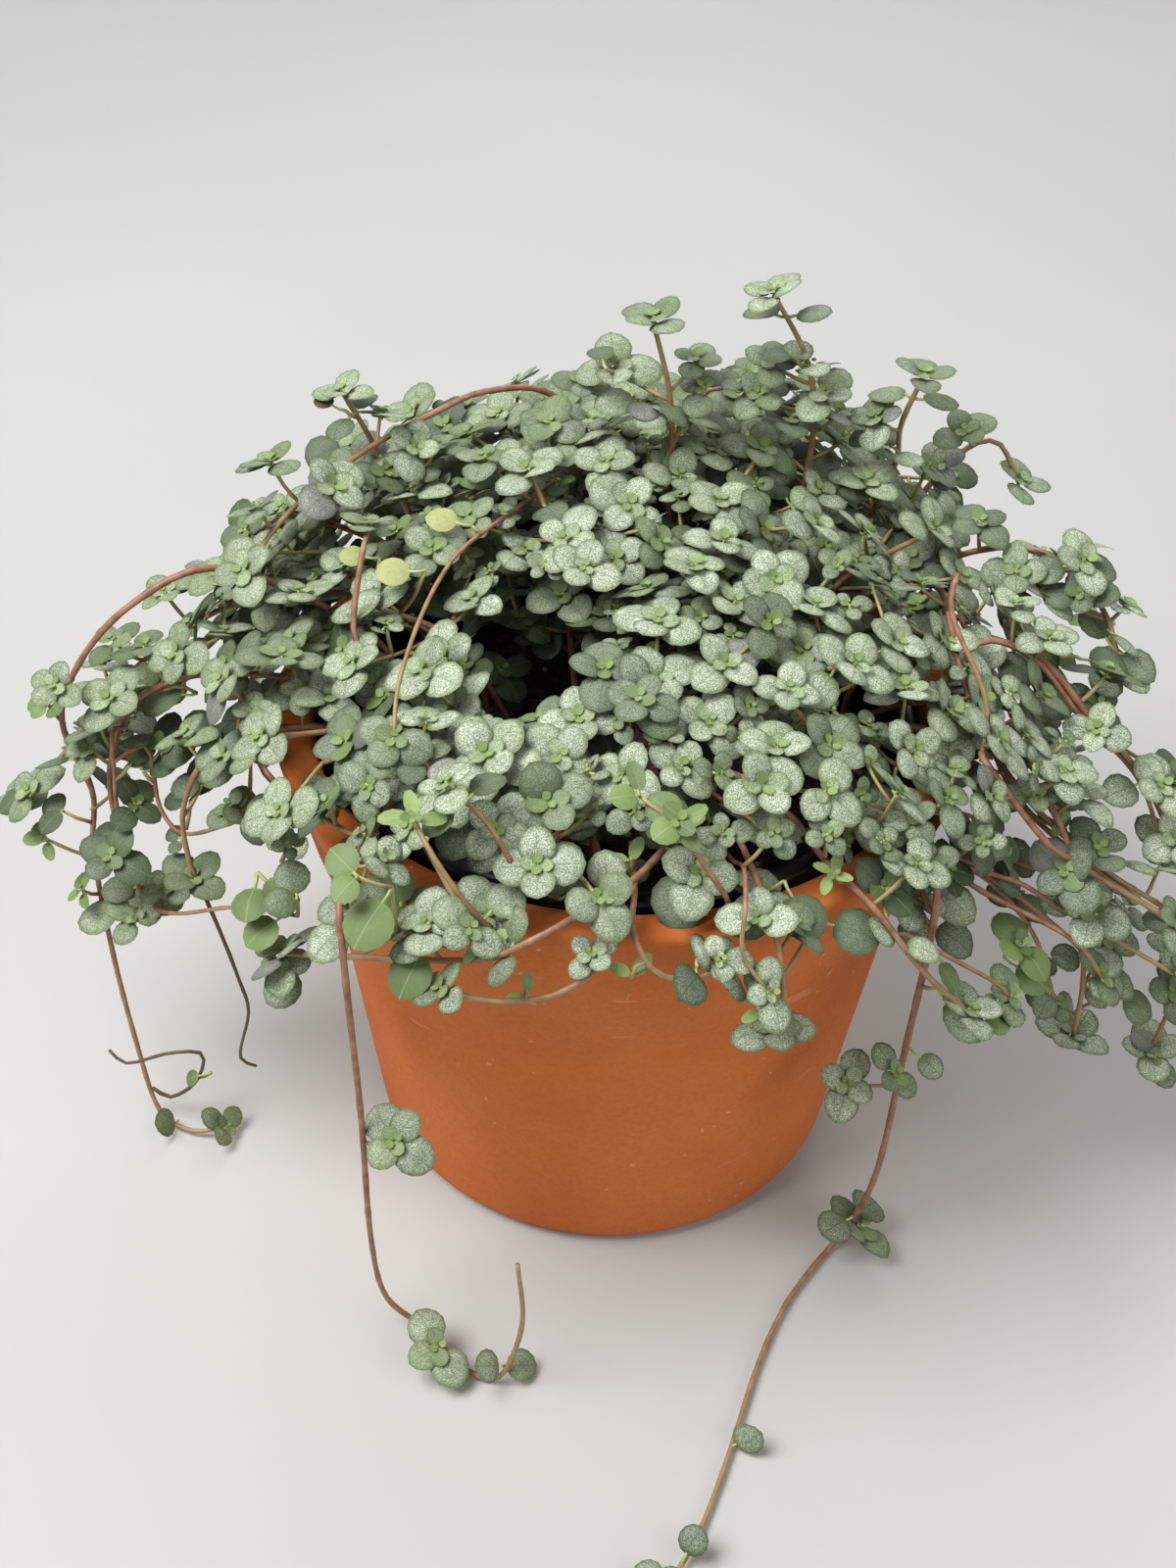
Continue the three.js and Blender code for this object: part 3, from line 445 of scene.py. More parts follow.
class Plant:
    """A stem with its side shoots and leaves. It stands in its hole in the soil."""

    def __init__(self, name, number, root, route):
        foot = (root[0], root[1], SOIL_TOP - HOLE_DEPTH + GAP)
        collar = (root[0], root[1], COLLAR_Z)
        self.name, self.number = name, number
        self.main = Stalk([foot, collar, *route], STEM_STEP)
        self.shoots, self.tendrils, self.whorls = [], [], []
        self.angle = self.share = 0.0


class Garden:
    """Grows the same stems and leaves as the CAD part, and then the finer foliage between them."""

    def __init__(self):
        self.room = Room()
        self.tips = []
        self.plants = []

    # -- as in the CAD part --

    def find_leaf(self, plant, base, axis, turn, tilt, stalk, radius):
        for more_tilt, size in LEAF_TRIES:
            leaf = Leaf(base, axis, turn, tilt + more_tilt, stalk, radius * size)
            if self.room.leaf_fits(leaf, plant.number):
                return leaf
        return None

    def whorl(self, plant, base, axis, turn, wanted, key):
        best = []
        for shift in WHORL_TURNS:
            found = []
            for i, (own_turn, tilt, stalk, radius) in enumerate(wanted):
                lean = draw_between(*LEAN_RANGE, plant.number, key, i, 2)
                size = draw_between(LEAST_SIZE, 1, plant.number, key, i, 3)
                leaf_turn = math.fmod(turn + own_turn + shift * DEGREE + TAU, TAU)
                leaf = self.find_leaf(plant, base, axis, leaf_turn, tilt + lean, stalk, radius * size)
                if leaf is not None:
                    found.append(leaf)
            if len(found) > len(best):
                best = found
            if len(best) == len(wanted):
                break
        for leaf in best:
            self.room.keep_leaf(leaf, plant.number)
        if best:
            green = base[2] < GREEN_BELOW or draw(plant.number, key, 21) < GREEN_SHARE
            plant.whorls.append((axis, best, len(wanted) > 2, "green" if green else "silver"))
            self.tips.append(base)

    def rosette(self, plant, tip, axis, radius, count, key):
        turn = draw_between(0, math.pi, plant.number, key, 9)
        kinds = (ROSETTE_LOWER, ROSETTE_UPPER, ROSETTE_LOWER, ROSETTE_UPPER)[:count]
        wanted = [(i * TAU / 4, tilt, stalk, radius * size) for i, (tilt, stalk, size) in enumerate(kinds)]
        self.whorl(plant, tip, axis, turn, wanted, key)

    def pair(self, plant, base, axis, radius, key):
        turn = draw_between(0, math.pi, plant.number, key, 9)
        wanted = [(side, PAIR_TILT, PAIR_STALK, radius) for side in (0, math.pi)]
        self.whorl(plant, base, axis, turn, wanted, key)

    def shoot(self, plant, route):
        stalk = Stalk(route, SHOOT_STEP)
        points = stalk.spots()[3:]
        if (not self.room.stem_fits(points, plant.number) or not self.room.clear_of_leaves(points)
                or hits_pot_or_floor(points, SHOOT_TO_POT)):
            return False
        self.room.keep_stem(points, plant.number)
        plant.shoots.append(stalk)
        return True

    def cluster(self, plant, share, radius, key):
        start = plant.main.point(share)
        outward = math.atan2(start[1], start[0])
        swing = (1 if key % 2 else -1) * draw_between(*CLUSTER_SWINGS, plant.number, key, 4) * DEGREE
        for turn in (swing, -swing, swing / 2, -swing / 2, 0):
            side = polar(1, outward + turn)
            knee = start + side * CLUSTER_KNEE[0] + UP * CLUSTER_KNEE[1]
            tip = start + side * CLUSTER_TIP[0] + UP * CLUSTER_TIP[1]
            if self.shoot(plant, [start, knee, tip]):
                self.rosette(plant, tip, unit(UP + side * CLUSTER_LEAN), radius, 3, key)
                return

    def long_leaves(self, plant, plan):
        stem = plant.main
        for i, share in enumerate(plan.clusters):
            self.cluster(plant, share, draw_between(*CLUSTER_SIZES, plant.number, i, 5), CLUSTER_KEY + i)
        for i, share in enumerate(plan.pairs):
            axis = upturned(stem.direction(share), PAIR_LIFT)
            self.pair(plant, stem.point(share), axis, PAIR_RADIUS, PAIR_KEY + i)
        if plan.tip > 0:
            self.rosette(plant, stem.point(1), upturned(stem.direction(1), TIP_LIFT), plan.tip, 4, TIP_KEY)

    def long_stem(self, name, plan, number):
        root, room = plan.root, self.room
        plant = Plant(name, number, root, [(root[0] * RIM_OUT, root[1] * RIM_OUT, RIM_OVER_Z), *plan.route])
        room.keep_stem(plant.main.spots(), number)
        if plan.tendril:
            stalk = Stalk([plant.main.point(plan.tendril_from), *plan.tendril], SHOOT_STEP)
            room.keep_stem(stalk.spots(), number)
            plant.tendrils.append(stalk)
        return plant

    def mound_stem(self, index, number):
        share = (index + 0.5) / MOUND_STEMS
        for turn in STEM_TURNS:
            angle = index * GOLDEN_ANGLE + turn * DEGREE
            root = polar(MOUND_ROOT_RADIUS * math.sqrt(share), angle)
            drop = draw_between(0, MOUND_TIP_DROP, number, 7)
            tip = on_mound(mound_radius(angle) * math.sqrt(share), angle, drop)
            bend = root + (tip - root) * MOUND_BEND_OUT
            bend[2] = COLLAR_Z + MOUND_BEND_UP * (tip[2] - COLLAR_Z)
            plant = Plant(f"mound_stem_{index + 1:02d}", number, (root[0], root[1]), [bend, tip])
            points = plant.main.spots()
            if self.room.stem_fits(points, number):
                self.room.keep_stem(points, number)
                plant.angle, plant.share = angle, share
                return plant
        return None

    def mound_tip(self, plant):
        tip = plant.main.point(1)
        size = draw_between(*MOUND_LEAF_SIZES, plant.number, 11)
        self.rosette(plant, tip, mound_axis(tip), size, 4, MOUND_TIP_KEY)

    def mound_shoots(self, plant):
        top = plant.main.point(1)
        radius = math.hypot(top[0], top[1])
        for i, (around, outward, crown_drop, edge_drop) in enumerate(MOUND_SHOOTS):
            drop = crown_drop + edge_drop * plant.share ** 2
            start = plant.main.point(draw_between(*MOUND_SHOOT_FROM, plant.number, i, 8))
            for stretch in SHOOT_STRETCHES:
                reach = max(MOUND_SHOOT_REACH, radius + outward * stretch)
                angle = plant.angle + around * stretch / max(MOUND_TURN_REACH, reach)
                tip = on_mound(reach, angle, drop * stretch + 1)
                knee = start + (tip - start) * 0.5
                knee[2] = start[2] + MOUND_KNEE_RISE * (tip[2] - start[2])
                if self.shoot(plant, [start, knee, tip]):
                    size = draw_between(*MOUND_LEAF_SIZES, plant.number, i, 10)
                    self.rosette(plant, tip, mound_axis(tip), size, 4, i + 1)
                    break

    def grow_frame(self):
        plans = list(LONG_STEMS.items())
        long_plants = [self.long_stem(name, plan, i) for i, (name, plan) in enumerate(plans)]
        mound = [self.mound_stem(i, len(plans) + i) for i in range(MOUND_STEMS)]
        mound = [plant for plant in mound if plant is not None]
        for plant, (_, plan) in zip(long_plants, plans):
            self.long_leaves(plant, plan)
        for plant in mound:
            self.mound_tip(plant)
        for plant in mound:
            self.mound_shoots(plant)
        self.plants = long_plants + mound


def upturned(axis, lift):
    """The axis of leaves on a stem that runs this way."""
    return unit(np.array([axis[0], axis[1], abs(axis[2]) + lift]))


def mound_radius(angle):
    front = max(0, -math.sin(angle))
    return MOUND_RADIUS - MOUND_FRONT_PULL * front * front


def mound_height(x, y):
    share = math.hypot(x, y) / MOUND_RADIUS
    away = math.hypot(x - HOLLOW_X, y - HOLLOW_Y) / HOLLOW_RADIUS
    dip = HOLLOW_DEPTH * math.exp(-away * away / 2)
    return MOUND_EDGE_Z + MOUND_CROWN * (1 - share * share) + MOUND_BACK_RISE * y - dip


def on_mound(radius, angle, drop):
    spot = polar(radius, angle)
    across, along = spot[0] - HOLLOW_X, spot[1] - HOLLOW_Y
    away = math.hypot(across, along)
    outward = (math.hypot(away, HOLLOW_CLEAR) - away) / max(away, 1)
    spot[0] += across * outward
    spot[1] += along * outward
    spot[2] = mound_height(spot[0], spot[1]) - drop
    return spot


def mound_axis(spot):
    """Rosettes face outwards and up, and at the back less far back, towards the light."""
    outward = spot[1] / MOUND_LEAF_SPREAD
    if spot[1] > 0:
        outward = -MOUND_LEAF_FORWARD * min(1, spot[1] / MOUND_LEAF_BACK)
    return unit(np.array([spot[0] / MOUND_LEAF_SPREAD, outward, MOUND_LEAF_UP]))


# ---- The finer foliage --------------------------------------------------------------------------

FINE_TRIES = ((0, 1), (10, 0.95), (-12, 0.95), (20, 0.85), (-22, 0.8), (32, 0.75))
FINE_TURNS = (0, 35, 70)
FINE_ROOM, TIGHT_ROOM, LOWER_ROOM, FINE_STEM_ROOM, FINE_OWN_STEM = 0.35, 0.25, 0.3, 0.4, 2.5
FINE_LEAF_TO_POT, FINE_TIP_TO_POT = 0.5, 0.6
LOWER_STALK, LOWER_TILT = 0.8, -2
UPPER_SIZE, UPPER_LIFT, UPPER_STALK, UPPER_TILT = 0.82, 0.8, 0.4, 13
FINE_TILTS, FINE_SIZES, FINE_STALKS, FINE_TURN = 10, (0.82, 1.06), (0.6, 1.5), 0.2
# The two pairs of young leaves at the middle of a rosette: their share of the radius, tilt, lift and age.
HEART = ((0.44, 14, 1.15, 0.44), (0.2, 28, 1.45, 0.14))
GREEN_BELOW, GREEN_SHARE = 30, 0.2

# A shoot leaves the nearest stem. A start above its tip costs more, and one in the soil far more.
COST_ABOVE, COST_BURIED, LEAVES_BELOW = 1.5, 60, 3
SHOOT_RISE, SHOOT_HANG, SHOOT_BOW = 0.35, 0.3, 1.5
REACH, HANGING_REACH, SIDE_SHOOT_REACH, WOVEN_REACH = 40, 34, 14, 80
SINGLE_STALK, SINGLE_TURN, SINGLE_TRIES = 3, 0.7, 8

LOWER_PAIR_SHARE, LOWER_PAIR_PAINTED_SHADE, LOWER_PAIR_DOWN, LOWER_PAIR_TURN = 0.65, 0.65, (3.5, 6), 0.4
LOWER_PAIR_SIZES, LOWER_PAIR_TILTS, LOWER_PAIR_STALKS = (0.85, 1.12), (-14, 6), (1.5, 2.6)

WOVEN_LEAF, WOVEN_AHEAD, WOVEN_UP, WOVEN_GREEN = 3.1, 0.6, (0, -0.3, 1.2), 0.5
PLACED_LEAN, PLACED_SPREAD, PLACED_FORWARD = 0.3, 260, 0.3

MOUND_KEY, SKIRT_KEY, SIDE_KEY = 500, 600, 700
FILL_TURN, FILL_LEAN, FRONT_WIDTH, FRONT_EDGE, FRONT_DROP = 0.4, 0.7, 46, 62, 0.55
SKIRT_COUNT, SKIRT_SPACING, SKIRT_TURNS, SKIRT_TURN, SKIRT_FRONT = 170, 9, 3, 0.06, -0.62
SKIRT_Z, SKIRT_TIER_DROP, SKIRT_DROP = 121, 8, 5
SKIRT_RADIUS, SKIRT_TIER_OUT, SKIRT_OUT, SKIRT_TO_RIM = 0.96, 0.02, 3, 6
SKIRT_SIZES, SKIRT_OWN_TONE, SKIRT_SPREAD, SKIRT_BACK = (3.2, 4.2), 0.6, 70, 20
SIDE_SPACING, SIDE_ROOM, SIDE_REACH, SIDE_SIZES = 8, 6, (3.5, 8), (2.7, 3.9)
SIDE_TRIES, SIDE_TURN, SIDE_LIFT, SIDE_LEAN = 3, 2.1, 2, 0.6
SPARSE_BELOW, SPARSE_SHARE = 112, 0.6


class Fill(NamedTuple):
    """Rosettes that fill the mound: how many are tried, how far they sit below its surface and from
    each other, their leaf radius and tones, and how far back they begin."""

    count: int
    drops: tuple
    spacing: float
    sizes: tuple
    tones: tuple
    behind: float = -200


TOP_FILL = Fill(430, (-1, 8), 9.3, (3.1, 4.0), ("silver", "silver", "green", "silver", "dark"))
# The deeper inner layers take the dark and shade tones: painted shade in the gaps under the top rosettes.
INNER_FILLS = (
    Fill(420, (3, 12), 6.2, (1.5, 2.4), ("green",)),
    Fill(400, (10, 25), 7.8, (3.2, 4.3), ("dark", "shade", "shade")),
    Fill(300, (22, 38), 8, (3.6, 4.4), ("shade",), 8),
)

# How old, how deep in colour and how frosted the leaves of a rosette are. The "shade" tone, deep unfrosted
# green, is painted shade for the leaves deep in the mound.
TONES = {
    "silver": ((0.7, 1.0), (0.0, 0.5), (0.75, 1.0)),
    "green": ((0.62, 0.85), (0.3, 0.7), (0.3, 0.65)),
    "dark": ((0.8, 1.0), (0.7, 1.0), (0.15, 0.5)),
    "shade": ((0.9, 1.0), (0.9, 1.0), (0.0, 0.15)),
    "plain": ((0.35, 0.55), (0.2, 0.6), (0.0, 0.12)),
    "young": ((0.05, 0.22), (0.0, 0.3), (0.0, 0.1)),
    "pale": ((0.7, 0.8), (-1.0, -0.9), (0.1, 0.3)),
    "dry": ((1.0, 1.0), (2.4, 2.6), (0.0, 0.0)),
}

# Rosettes given one by one: middle, leaf radius and number of leaves. One leaf is a blade on a long stalk.
PLACED = {
    "silver": (
        (-100, -14, 115, 3.6, 4), (-107, -10, 99, 3.6, 3), (-123, -6, 83, 3.6, 3), (-93, -20, 71, 2.9, 4),
        (-99, -24, 65, 3.2, 4), (-110, -16, 57, 4.4, 1), (-79, -20, 103, 4, 1), (-67, -34, 104, 3, 4),
        (-63, -36, 102, 3, 3), (-90, 4, 113, 3, 4), (-75, -6, 118, 3.4, 4), (-61, -20, 123, 3.4, 4),
        (-59, -14, 125, 4, 1), (-67, -22, 109, 2.7, 4), (-60, -27, 110, 3.6, 3), (84, 16, 130, 3.9, 4),
        (86, -20, 113, 3.8, 4), (99, -32, 80, 4, 4), (104, -32, 67, 3.6, 1), (114, -30, 74, 3.4, 4),
        (67, -60, 84, 4.6, 1), (57, -46, 101, 3.4, 4), (65, -44, 98, 4.2, 1), (47, -44, 117, 3.6, 4),
        (68, -14, 119, 3.9, 4), (-61, -62, 92, 3.5, 4), (-61, -61, 85, 3.8, 1), (-51, -65, 101, 4, 1),
        (-4, 35, 166, 4.2, 4), (1, 33, 160, 4.2, 2), (6, 31, 159, 3.8, 4), (38, 33, 163, 3.4, 3),
        (19, -76, 112, 2.6, 4), (29, -77, 105, 3.7, 2), (-3, -76, 112, 2.4, 4), (-17, -49, 118, 2.7, 4)),
    "green": (
        (-92, -8, 111, 4.6, 1), (-80, -4, 117, 4.2, 1), (-75, -28, 100, 3.2, 4), (80, -26, 95, 4.4, 1),
        (82, -26, 86, 3.8, 2), (98, -30, 64, 3.2, 2), (96, -30, 58, 3.7, 1), (109, -32, 61, 3.7, 1),
        (-10, 35, 162, 2.8, 4), (12, 36, 168, 2.8, 4), (14, 33, 163, 3.1, 3), (27, 36, 168, 3, 4),
        (25, 33, 162, 3.4, 4), (-17, 36, 152, 3.6, 4), (59, -30, 117, 4, 1), (50, -50, 108, 3.9, 2),
        (-46, -66, 113, 3.2, 3), (-57, -59, 106, 3.5, 2)),
    "dark": (
        (-7, 33, 170, 2.8, 1), (31, 34, 171, 3, 2), (21, 35, 164, 2.8, 2), (31, 31, 158, 3.8, 3),
        (-116, -8, 80, 3.6, 2), (-104, -18, 67, 3.7, 1), (-82, -26, 82, 4, 1), (-107, -12, 77, 3.6, 1),
        (-92, -12, 102, 4.2, 3), (-99, -14, 98, 3.7, 2), (-96, -14, 97, 3.4, 2), (-88, -4, 111, 4.2, 2),
        (-83, -14, 105, 4.2, 3), (-83, -18, 98, 3.8, 2), (-86, -18, 93, 4, 2), (-76, -10, 108, 4.4, 1),
        (-88, -20, 84, 2.2, 2), (96, 0, 124, 4.3, 1), (95, -2, 115, 3.3, 4), (112, -6, 101, 3.4, 4),
        (116, -30, 64, 3.4, 3), (117, -28, 42, 3.4, 4), (62, -40, 102, 4, 1), (66, -44, 89, 4, 1),
        (58, -48, 94, 4, 1), (68, -20, 107, 5, 1), (69, -30, 101, 4.6, 1), (85, -6, 119, 4.4, 1),
        (44, -62, 107, 4.3, 1), (24, -66, 114, 4.6, 1), (34, -64, 112, 4.4, 1), (12, -62, 113, 5, 1),
        (-12, -57, 113, 3.2, 2), (-9, -62, 112, 2.6, 2)),
    "plain": (
        (11, -63, 132, 3.2, 4), (4, -60, 135, 3, 2), (-116, -6, 107, 2.4, 4), (-121, -8, 72, 2.4, 3),
        (-113, -14, 63, 2.2, 4), (79, -44, 88, 3.7, 3), (82, -46, 82, 3.6, 1), (64, -60, 95, 3.8, 1),
        (73, -58, 85, 2.8, 3), (-41, -78, 119, 4.4, 1), (-34, -80, 109, 4.0, 1), (-43, -74, 126, 3.4, 2),
        (-37, -66, 112, 3.9, 2), (-57, -60, 104, 3.6, 1), (-61, -58, 106, 3.6, 1), (-66, -58, 103, 3.6, 1),
        (-64, -60, 98, 3.4, 1)),
    "young": (
        (100, 30, 114, 2.8, 4), (86, -26, 103, 2.4, 4), (39, -58, 117, 2.2, 4), (-34, -69, 135, 2.5, 3),
        (-30, -46, 131, 3, 3), (11, -52, 122, 3.2, 4), (3, -58, 118, 2.4, 2), (-22, -76, 113, 2.4, 3),
        (-14, -79, 104, 2, 2), (4, -77, 108, 2.4, 2), (27, -79, 103, 2.6, 2)),
    "pale": ((-36, 5, 148, 2.9, 1), (-44, -8, 144, 3.1, 1), (-53, 0, 142, 2.3, 1)),
    "dry": ((-109, -12, 71, 1.6, 1), (-62, 31, 158, 2, 1)),
}

# Stretches of stem that lie over the others: their thickness, the leaves at the end, and points.
WOVEN = (
    (0.5, 3, ((-9, 39, 148), (-13, 32, 144), (-22, 19, 143), (-31, -3, 147), (-35, -16, 147),
              (-38, -28, 144), (-40, -38, 139), (-40, -46, 134))),
    (0.65, 4, ((-51, -16, 136), (-50, -8, 147), (-50, 3, 147))),
    (0.65, 3, ((-14, -49, 104), (-17, -52, 111), (-28, -49, 122), (-36, -45, 130))),
    (0.55, 2, ((-75, -10, 115), (-72, -18, 109), (-68, -26, 107), (-60, -34, 109), (-54, -37, 112))),
    (0.5, 0, ((-101, -14, 107), (-102, -14, 96), (-102, -16, 89), (-101, -18, 80), (-99, -20, 72),
              (-96, -22, 67), (-88, -30, 73), (-73, -42, 87), (-58, -56, 99))),
    (0.5, 3, ((-95, -13, 103), (-94, -14, 94), (-93, -16, 89), (-88, -20, 86), (-77, -27, 95),
              (-72, -28, 99))),
    (0.7, 4, ((67, 10, 128), (71, 0, 122), (73, -8, 118), (74, -14, 112), (79, -20, 105), (88, -26, 99),
              (98, -29, 93), (113, -30, 82))),
    (0.6, 4, ((54, -44, 115), (70, -38, 102), (91, -36, 83), (98, -35, 72))),
    (0.55, 3, ((54, -42, 114), (72, -36, 98), (84, -34, 82), (92, -33, 62))),
    (0.55, 4, ((52, -30, 116), (74, -30, 100), (90, -26, 90), (104, -22, 80))),
    (0.6, 0, ((6, -40, 104), (12, -50, 118), (19, -56, 114), (25, -58, 111))),
    (0.6, 0, ((12, -42, 104), (17, -50, 116), (22, -54, 112))),
    (0.6, 0, ((4, -34, 116), (9, -37, 123), (21, -45, 121), (30, -50, 118))),
    (0.5, 3, ((22, -50, 112), (23, -62, 121), (23, -72, 121), (23, -76, 114), (28, -78, 107))),
    (0.6, 0, ((-14, -46, 106), (-12, -50, 113), (-7, -46, 117))),
    (0.65, 3, ((-33, -44, 110), (-35, -53, 118), (-29, -66, 118), (-24, -76, 117))),
    (0.5, 0, ((-24, -48, 104), (-20, -54, 108), (-12, -57, 109))),
    (0.5, 2, ((1, -48, 106), (0, -55, 108), (3, -58, 112))),
    (0.5, 3, ((52, -58, 104), (62, -60, 100), (72, -58, 92), (76, -56, 86))),
    (0.6, 0, ((22, -62, 110), (20, -66, 118), (16, -65, 124), (11, -62, 130))),
    (0.6, 4, ((57, -40, 105), (75, -40, 102), (87, -38, 93), (112, -38, 77))),
    (0.6, 3, ((57, -40, 109), (69, -42, 101), (89, -42, 89), (97, -42, 79))),
    (0.75, 4, ((68, -32, 124), (80, -36, 110), (87, -36, 104), (110, -36, 89))),
    (0.6, 0, ((62, -8, 149), (61, -14, 144), (68, -24, 132), (68, -30, 122))),
    (0.6, 3, ((71, -6, 133), (81, -6, 128), (90, -10, 119), (103, -14, 107), (110, -18, 93))),
    (0.55, 0, ((54, -34, 116), (61, -34, 114), (70, -34, 111))),
    (0.6, 4, ((-16, -60, 110), (-17, -66, 122), (-22, -65, 132), (-29, -62, 137))),
    (0.6, 0, ((-20, -62, 106), (-22, -74, 117), (-29, -74, 129), (-34, -68, 134))),
    (0.6, 0, ((-72, -22, 125), (-68, -30, 114), (-60, -40, 114), (-53, -50, 118), (-41, -62, 122))),
)

# The upper rosettes of the two hanging stems at the front sit a little lower here, and on the left one
# on its other side, as in the photograph.
MOVED = ("front_left_hanging_stem", "front_right_hanging_stem")
PLACED_LAST = {
    "green": ((-38.5, -79, 64, 3.6, 4), (57, -55.5, 63, 2.8, 3), (64.5, -52, 62, 2.7, 1)),
    "silver": ((48, -55, 59, 3.4, 4),),
    "plain": ((-93, -24, 16, 2.2, 1),),
}


def open_side(spot):
    """Whether the spot is in the open space at the left, which shows the rims of the pots, or past the
    right shoulder of the mound."""
    x, y, z = spot
    over_rim = -63 < x < -50 and -50 < y < -26 and z < 133
    beside_rim = -92 < x < -51 and -48 < y < -5 and z < 123
    past_shoulder = x > 70 and 24 < y < 60 and z > 112
    return over_rim or beside_rim or past_shoulder


class Foliage:
    """Fills a grown garden with the rosettes that the CAD part has no room for."""

    def __init__(self, garden):
        self.garden = garden
        self.room = garden.room
        self.by_number = {plant.number: plant for plant in garden.plants}
        self.count = 0

    def next_key(self):
        """The next whole number for the draws of a rosette, a pair or a woven stem."""
        self.count += 1
        return 1000 + self.count

    def start_for(self, tip, reach):
        """The nearest point of any stem that a shoot to this tip could leave, and the stem's plant."""
        stems = self.room.stems
        buried = (stems[:, 2] < COLLAR_Z + 1) & (np.hypot(stems[:, 0], stems[:, 1]) < CLAY_RIM)
        above = np.maximum(0, stems[:, 2] - tip[2] + LEAVES_BELOW)
        cost = lengths(stems - tip) + COST_ABOVE * above + COST_BURIED * buried
        best = int(np.argmin(cost))
        if cost[best] > reach:
            return None, None
        return stems[best], self.by_number[int(self.room.stem_owner[best])]

    def add_shoot(self, plant, points, thickness=None):
        stalk = Stalk(points, SHOOT_STEP, thickness)
        plant.shoots.append(stalk)
        self.room.keep_stem(stalk.spots()[2:], plant.number)
        return stalk

    def join(self, start, plant, tip):
        """A bowed shoot from a point of the plant to the tip."""
        middle = start + (tip - start) * 0.5
        hang = tip[2] < start[2]
        middle[2] = start[2] + (tip[2] - start[2]) * (SHOOT_HANG if hang else SHOOT_RISE) + SHOOT_BOW * hang
        self.add_shoot(plant, [start, middle, tip])

    def keep(self, plant, axis, leaves, hearted, tone):
        for leaf in leaves:
            self.room.keep_leaf(leaf, plant.number)
        plant.whorls.append((axis, leaves, hearted, tone))

    def fitting(self, base, axis, turn, tilt, stalk, size, room):
        for more_tilt, scale in FINE_TRIES:
            leaf = Leaf(base, axis, turn, tilt + more_tilt, stalk, size * scale)
            if self.room.fine_leaf_fits(leaf, room):
                return leaf
        return None

    def outer_leaves(self, tip, axis, turn, radius, outer, room, key):
        """Up to four leaves in two pairs, the upper ones smaller and more tilted."""
        found = []
        for i in range(outer):
            upper = i % 2 == 1
            tilt = (UPPER_TILT if upper else LOWER_TILT) + draw_within(FINE_TILTS, key, i, 2)
            size = radius * (UPPER_SIZE if upper else 1) * draw_between(*FINE_SIZES, key, i, 3)
            stalk = (UPPER_STALK if upper else LOWER_STALK) * draw_between(*FINE_STALKS, key, i, 4)
            leaf_turn = turn + i * TAU / 4 + draw_within(FINE_TURN, key, i, 5)
            base = tip + axis * UPPER_LIFT if upper else tip
            leaf = self.fitting(base, axis, leaf_turn, tilt, stalk, size, room)
            if leaf is not None:
                found.append(leaf)
        return found

    def rosette_at(self, tip, axis, radius, tone, reach=REACH, outer=4, room=FINE_ROOM, least=2):
        key = self.next_key()
        start, plant = self.start_for(tip, reach)
        if plant is None or hits_pot_or_floor(np.array([tip]), FINE_TIP_TO_POT):
            return False
        turn = draw_between(0, math.pi, key, 1)
        best = []
        for shift in FINE_TURNS:
            found = self.outer_leaves(tip, axis, turn + shift * DEGREE, radius, outer, room, key)
            if len(found) > len(best):
                best = found
            if len(best) == outer:
                break
        if len(best) < least:
            return False
        self.join(start, plant, tip)
        self.keep(plant, axis, best, outer > 2, tone)
        self.garden.tips.append(tip)
        return True

    def single_at(self, spot, axis, radius, tone):
        """One leaf on a long stalk, with the middle of its blade at the spot."""
        outward = math.atan2(spot[1], spot[0])
        first, second = square_to(axis)
        for i in range(SINGLE_TRIES):
            level = polar(1, outward + (i + 1) // 2 * (SINGLE_TURN if i % 2 else -SINGLE_TURN))
            turn = math.atan2(float(level @ second), float(level @ first))
            flat = first * math.cos(turn) + second * math.sin(turn)
            tip = spot - flat * (SINGLE_STALK + radius)
            start, plant = self.start_for(tip, REACH)
            leaf = self.fitting(tip, axis, turn, 0, SINGLE_STALK, radius, TIGHT_ROOM)
            if (plant is not None and leaf is not None
                    and not hits_pot_or_floor(np.array([tip]), FINE_TIP_TO_POT)):
                self.join(start, plant, tip)
                self.keep(plant, axis, [leaf], False, tone)
                return

    def lower_pair(self, plant, tip, axis, turn, radius, tone):
        """Two leaves on the stem below a rosette, across its outer pair."""
        key = self.next_key()
        own = self.room.stems[self.room.stem_owner == plant.number]
        base = own[np.argmin(np.abs(lengths(own - tip) - draw_between(*LOWER_PAIR_DOWN, key, 1)))]
        leaves = []
        for side in (0, math.pi):
            keys = (key, int(side))
            size = radius * draw_between(*LOWER_PAIR_SIZES, *keys, 2)
            tilt = draw_between(*LOWER_PAIR_TILTS, *keys, 3)
            leaf_turn = turn + math.pi / 2 + side + draw_within(LOWER_PAIR_TURN, *keys, 4)
            stalk = draw_between(*LOWER_PAIR_STALKS, *keys, 5)
            leaf = self.fitting(base, axis, leaf_turn, tilt, stalk, size, LOWER_ROOM)
            if leaf is not None and not open_side(leaf.centre):
                leaves.append(leaf)
        if leaves:
            self.keep(plant, axis, leaves, False, tone)

    def lower_pairs(self):
        for plant in self.garden.plants:
            for axis, leaves, hearted, tone in list(plant.whorls):
                full = hearted and tone in ("silver", "green")
                if full and draw(plant.number, len(plant.whorls), 31) < LOWER_PAIR_SHARE:
                    # Most pairs under a rosette take the dark tone: painted shade beneath the rosette.
                    own_tone = "dark" if draw(plant.number, self.count, 32) < LOWER_PAIR_PAINTED_SHADE else tone
                    radius = max(leaf.radius for leaf in leaves)
                    self.lower_pair(plant, leaves[0].base, axis, leaves[0].turn, radius, own_tone)

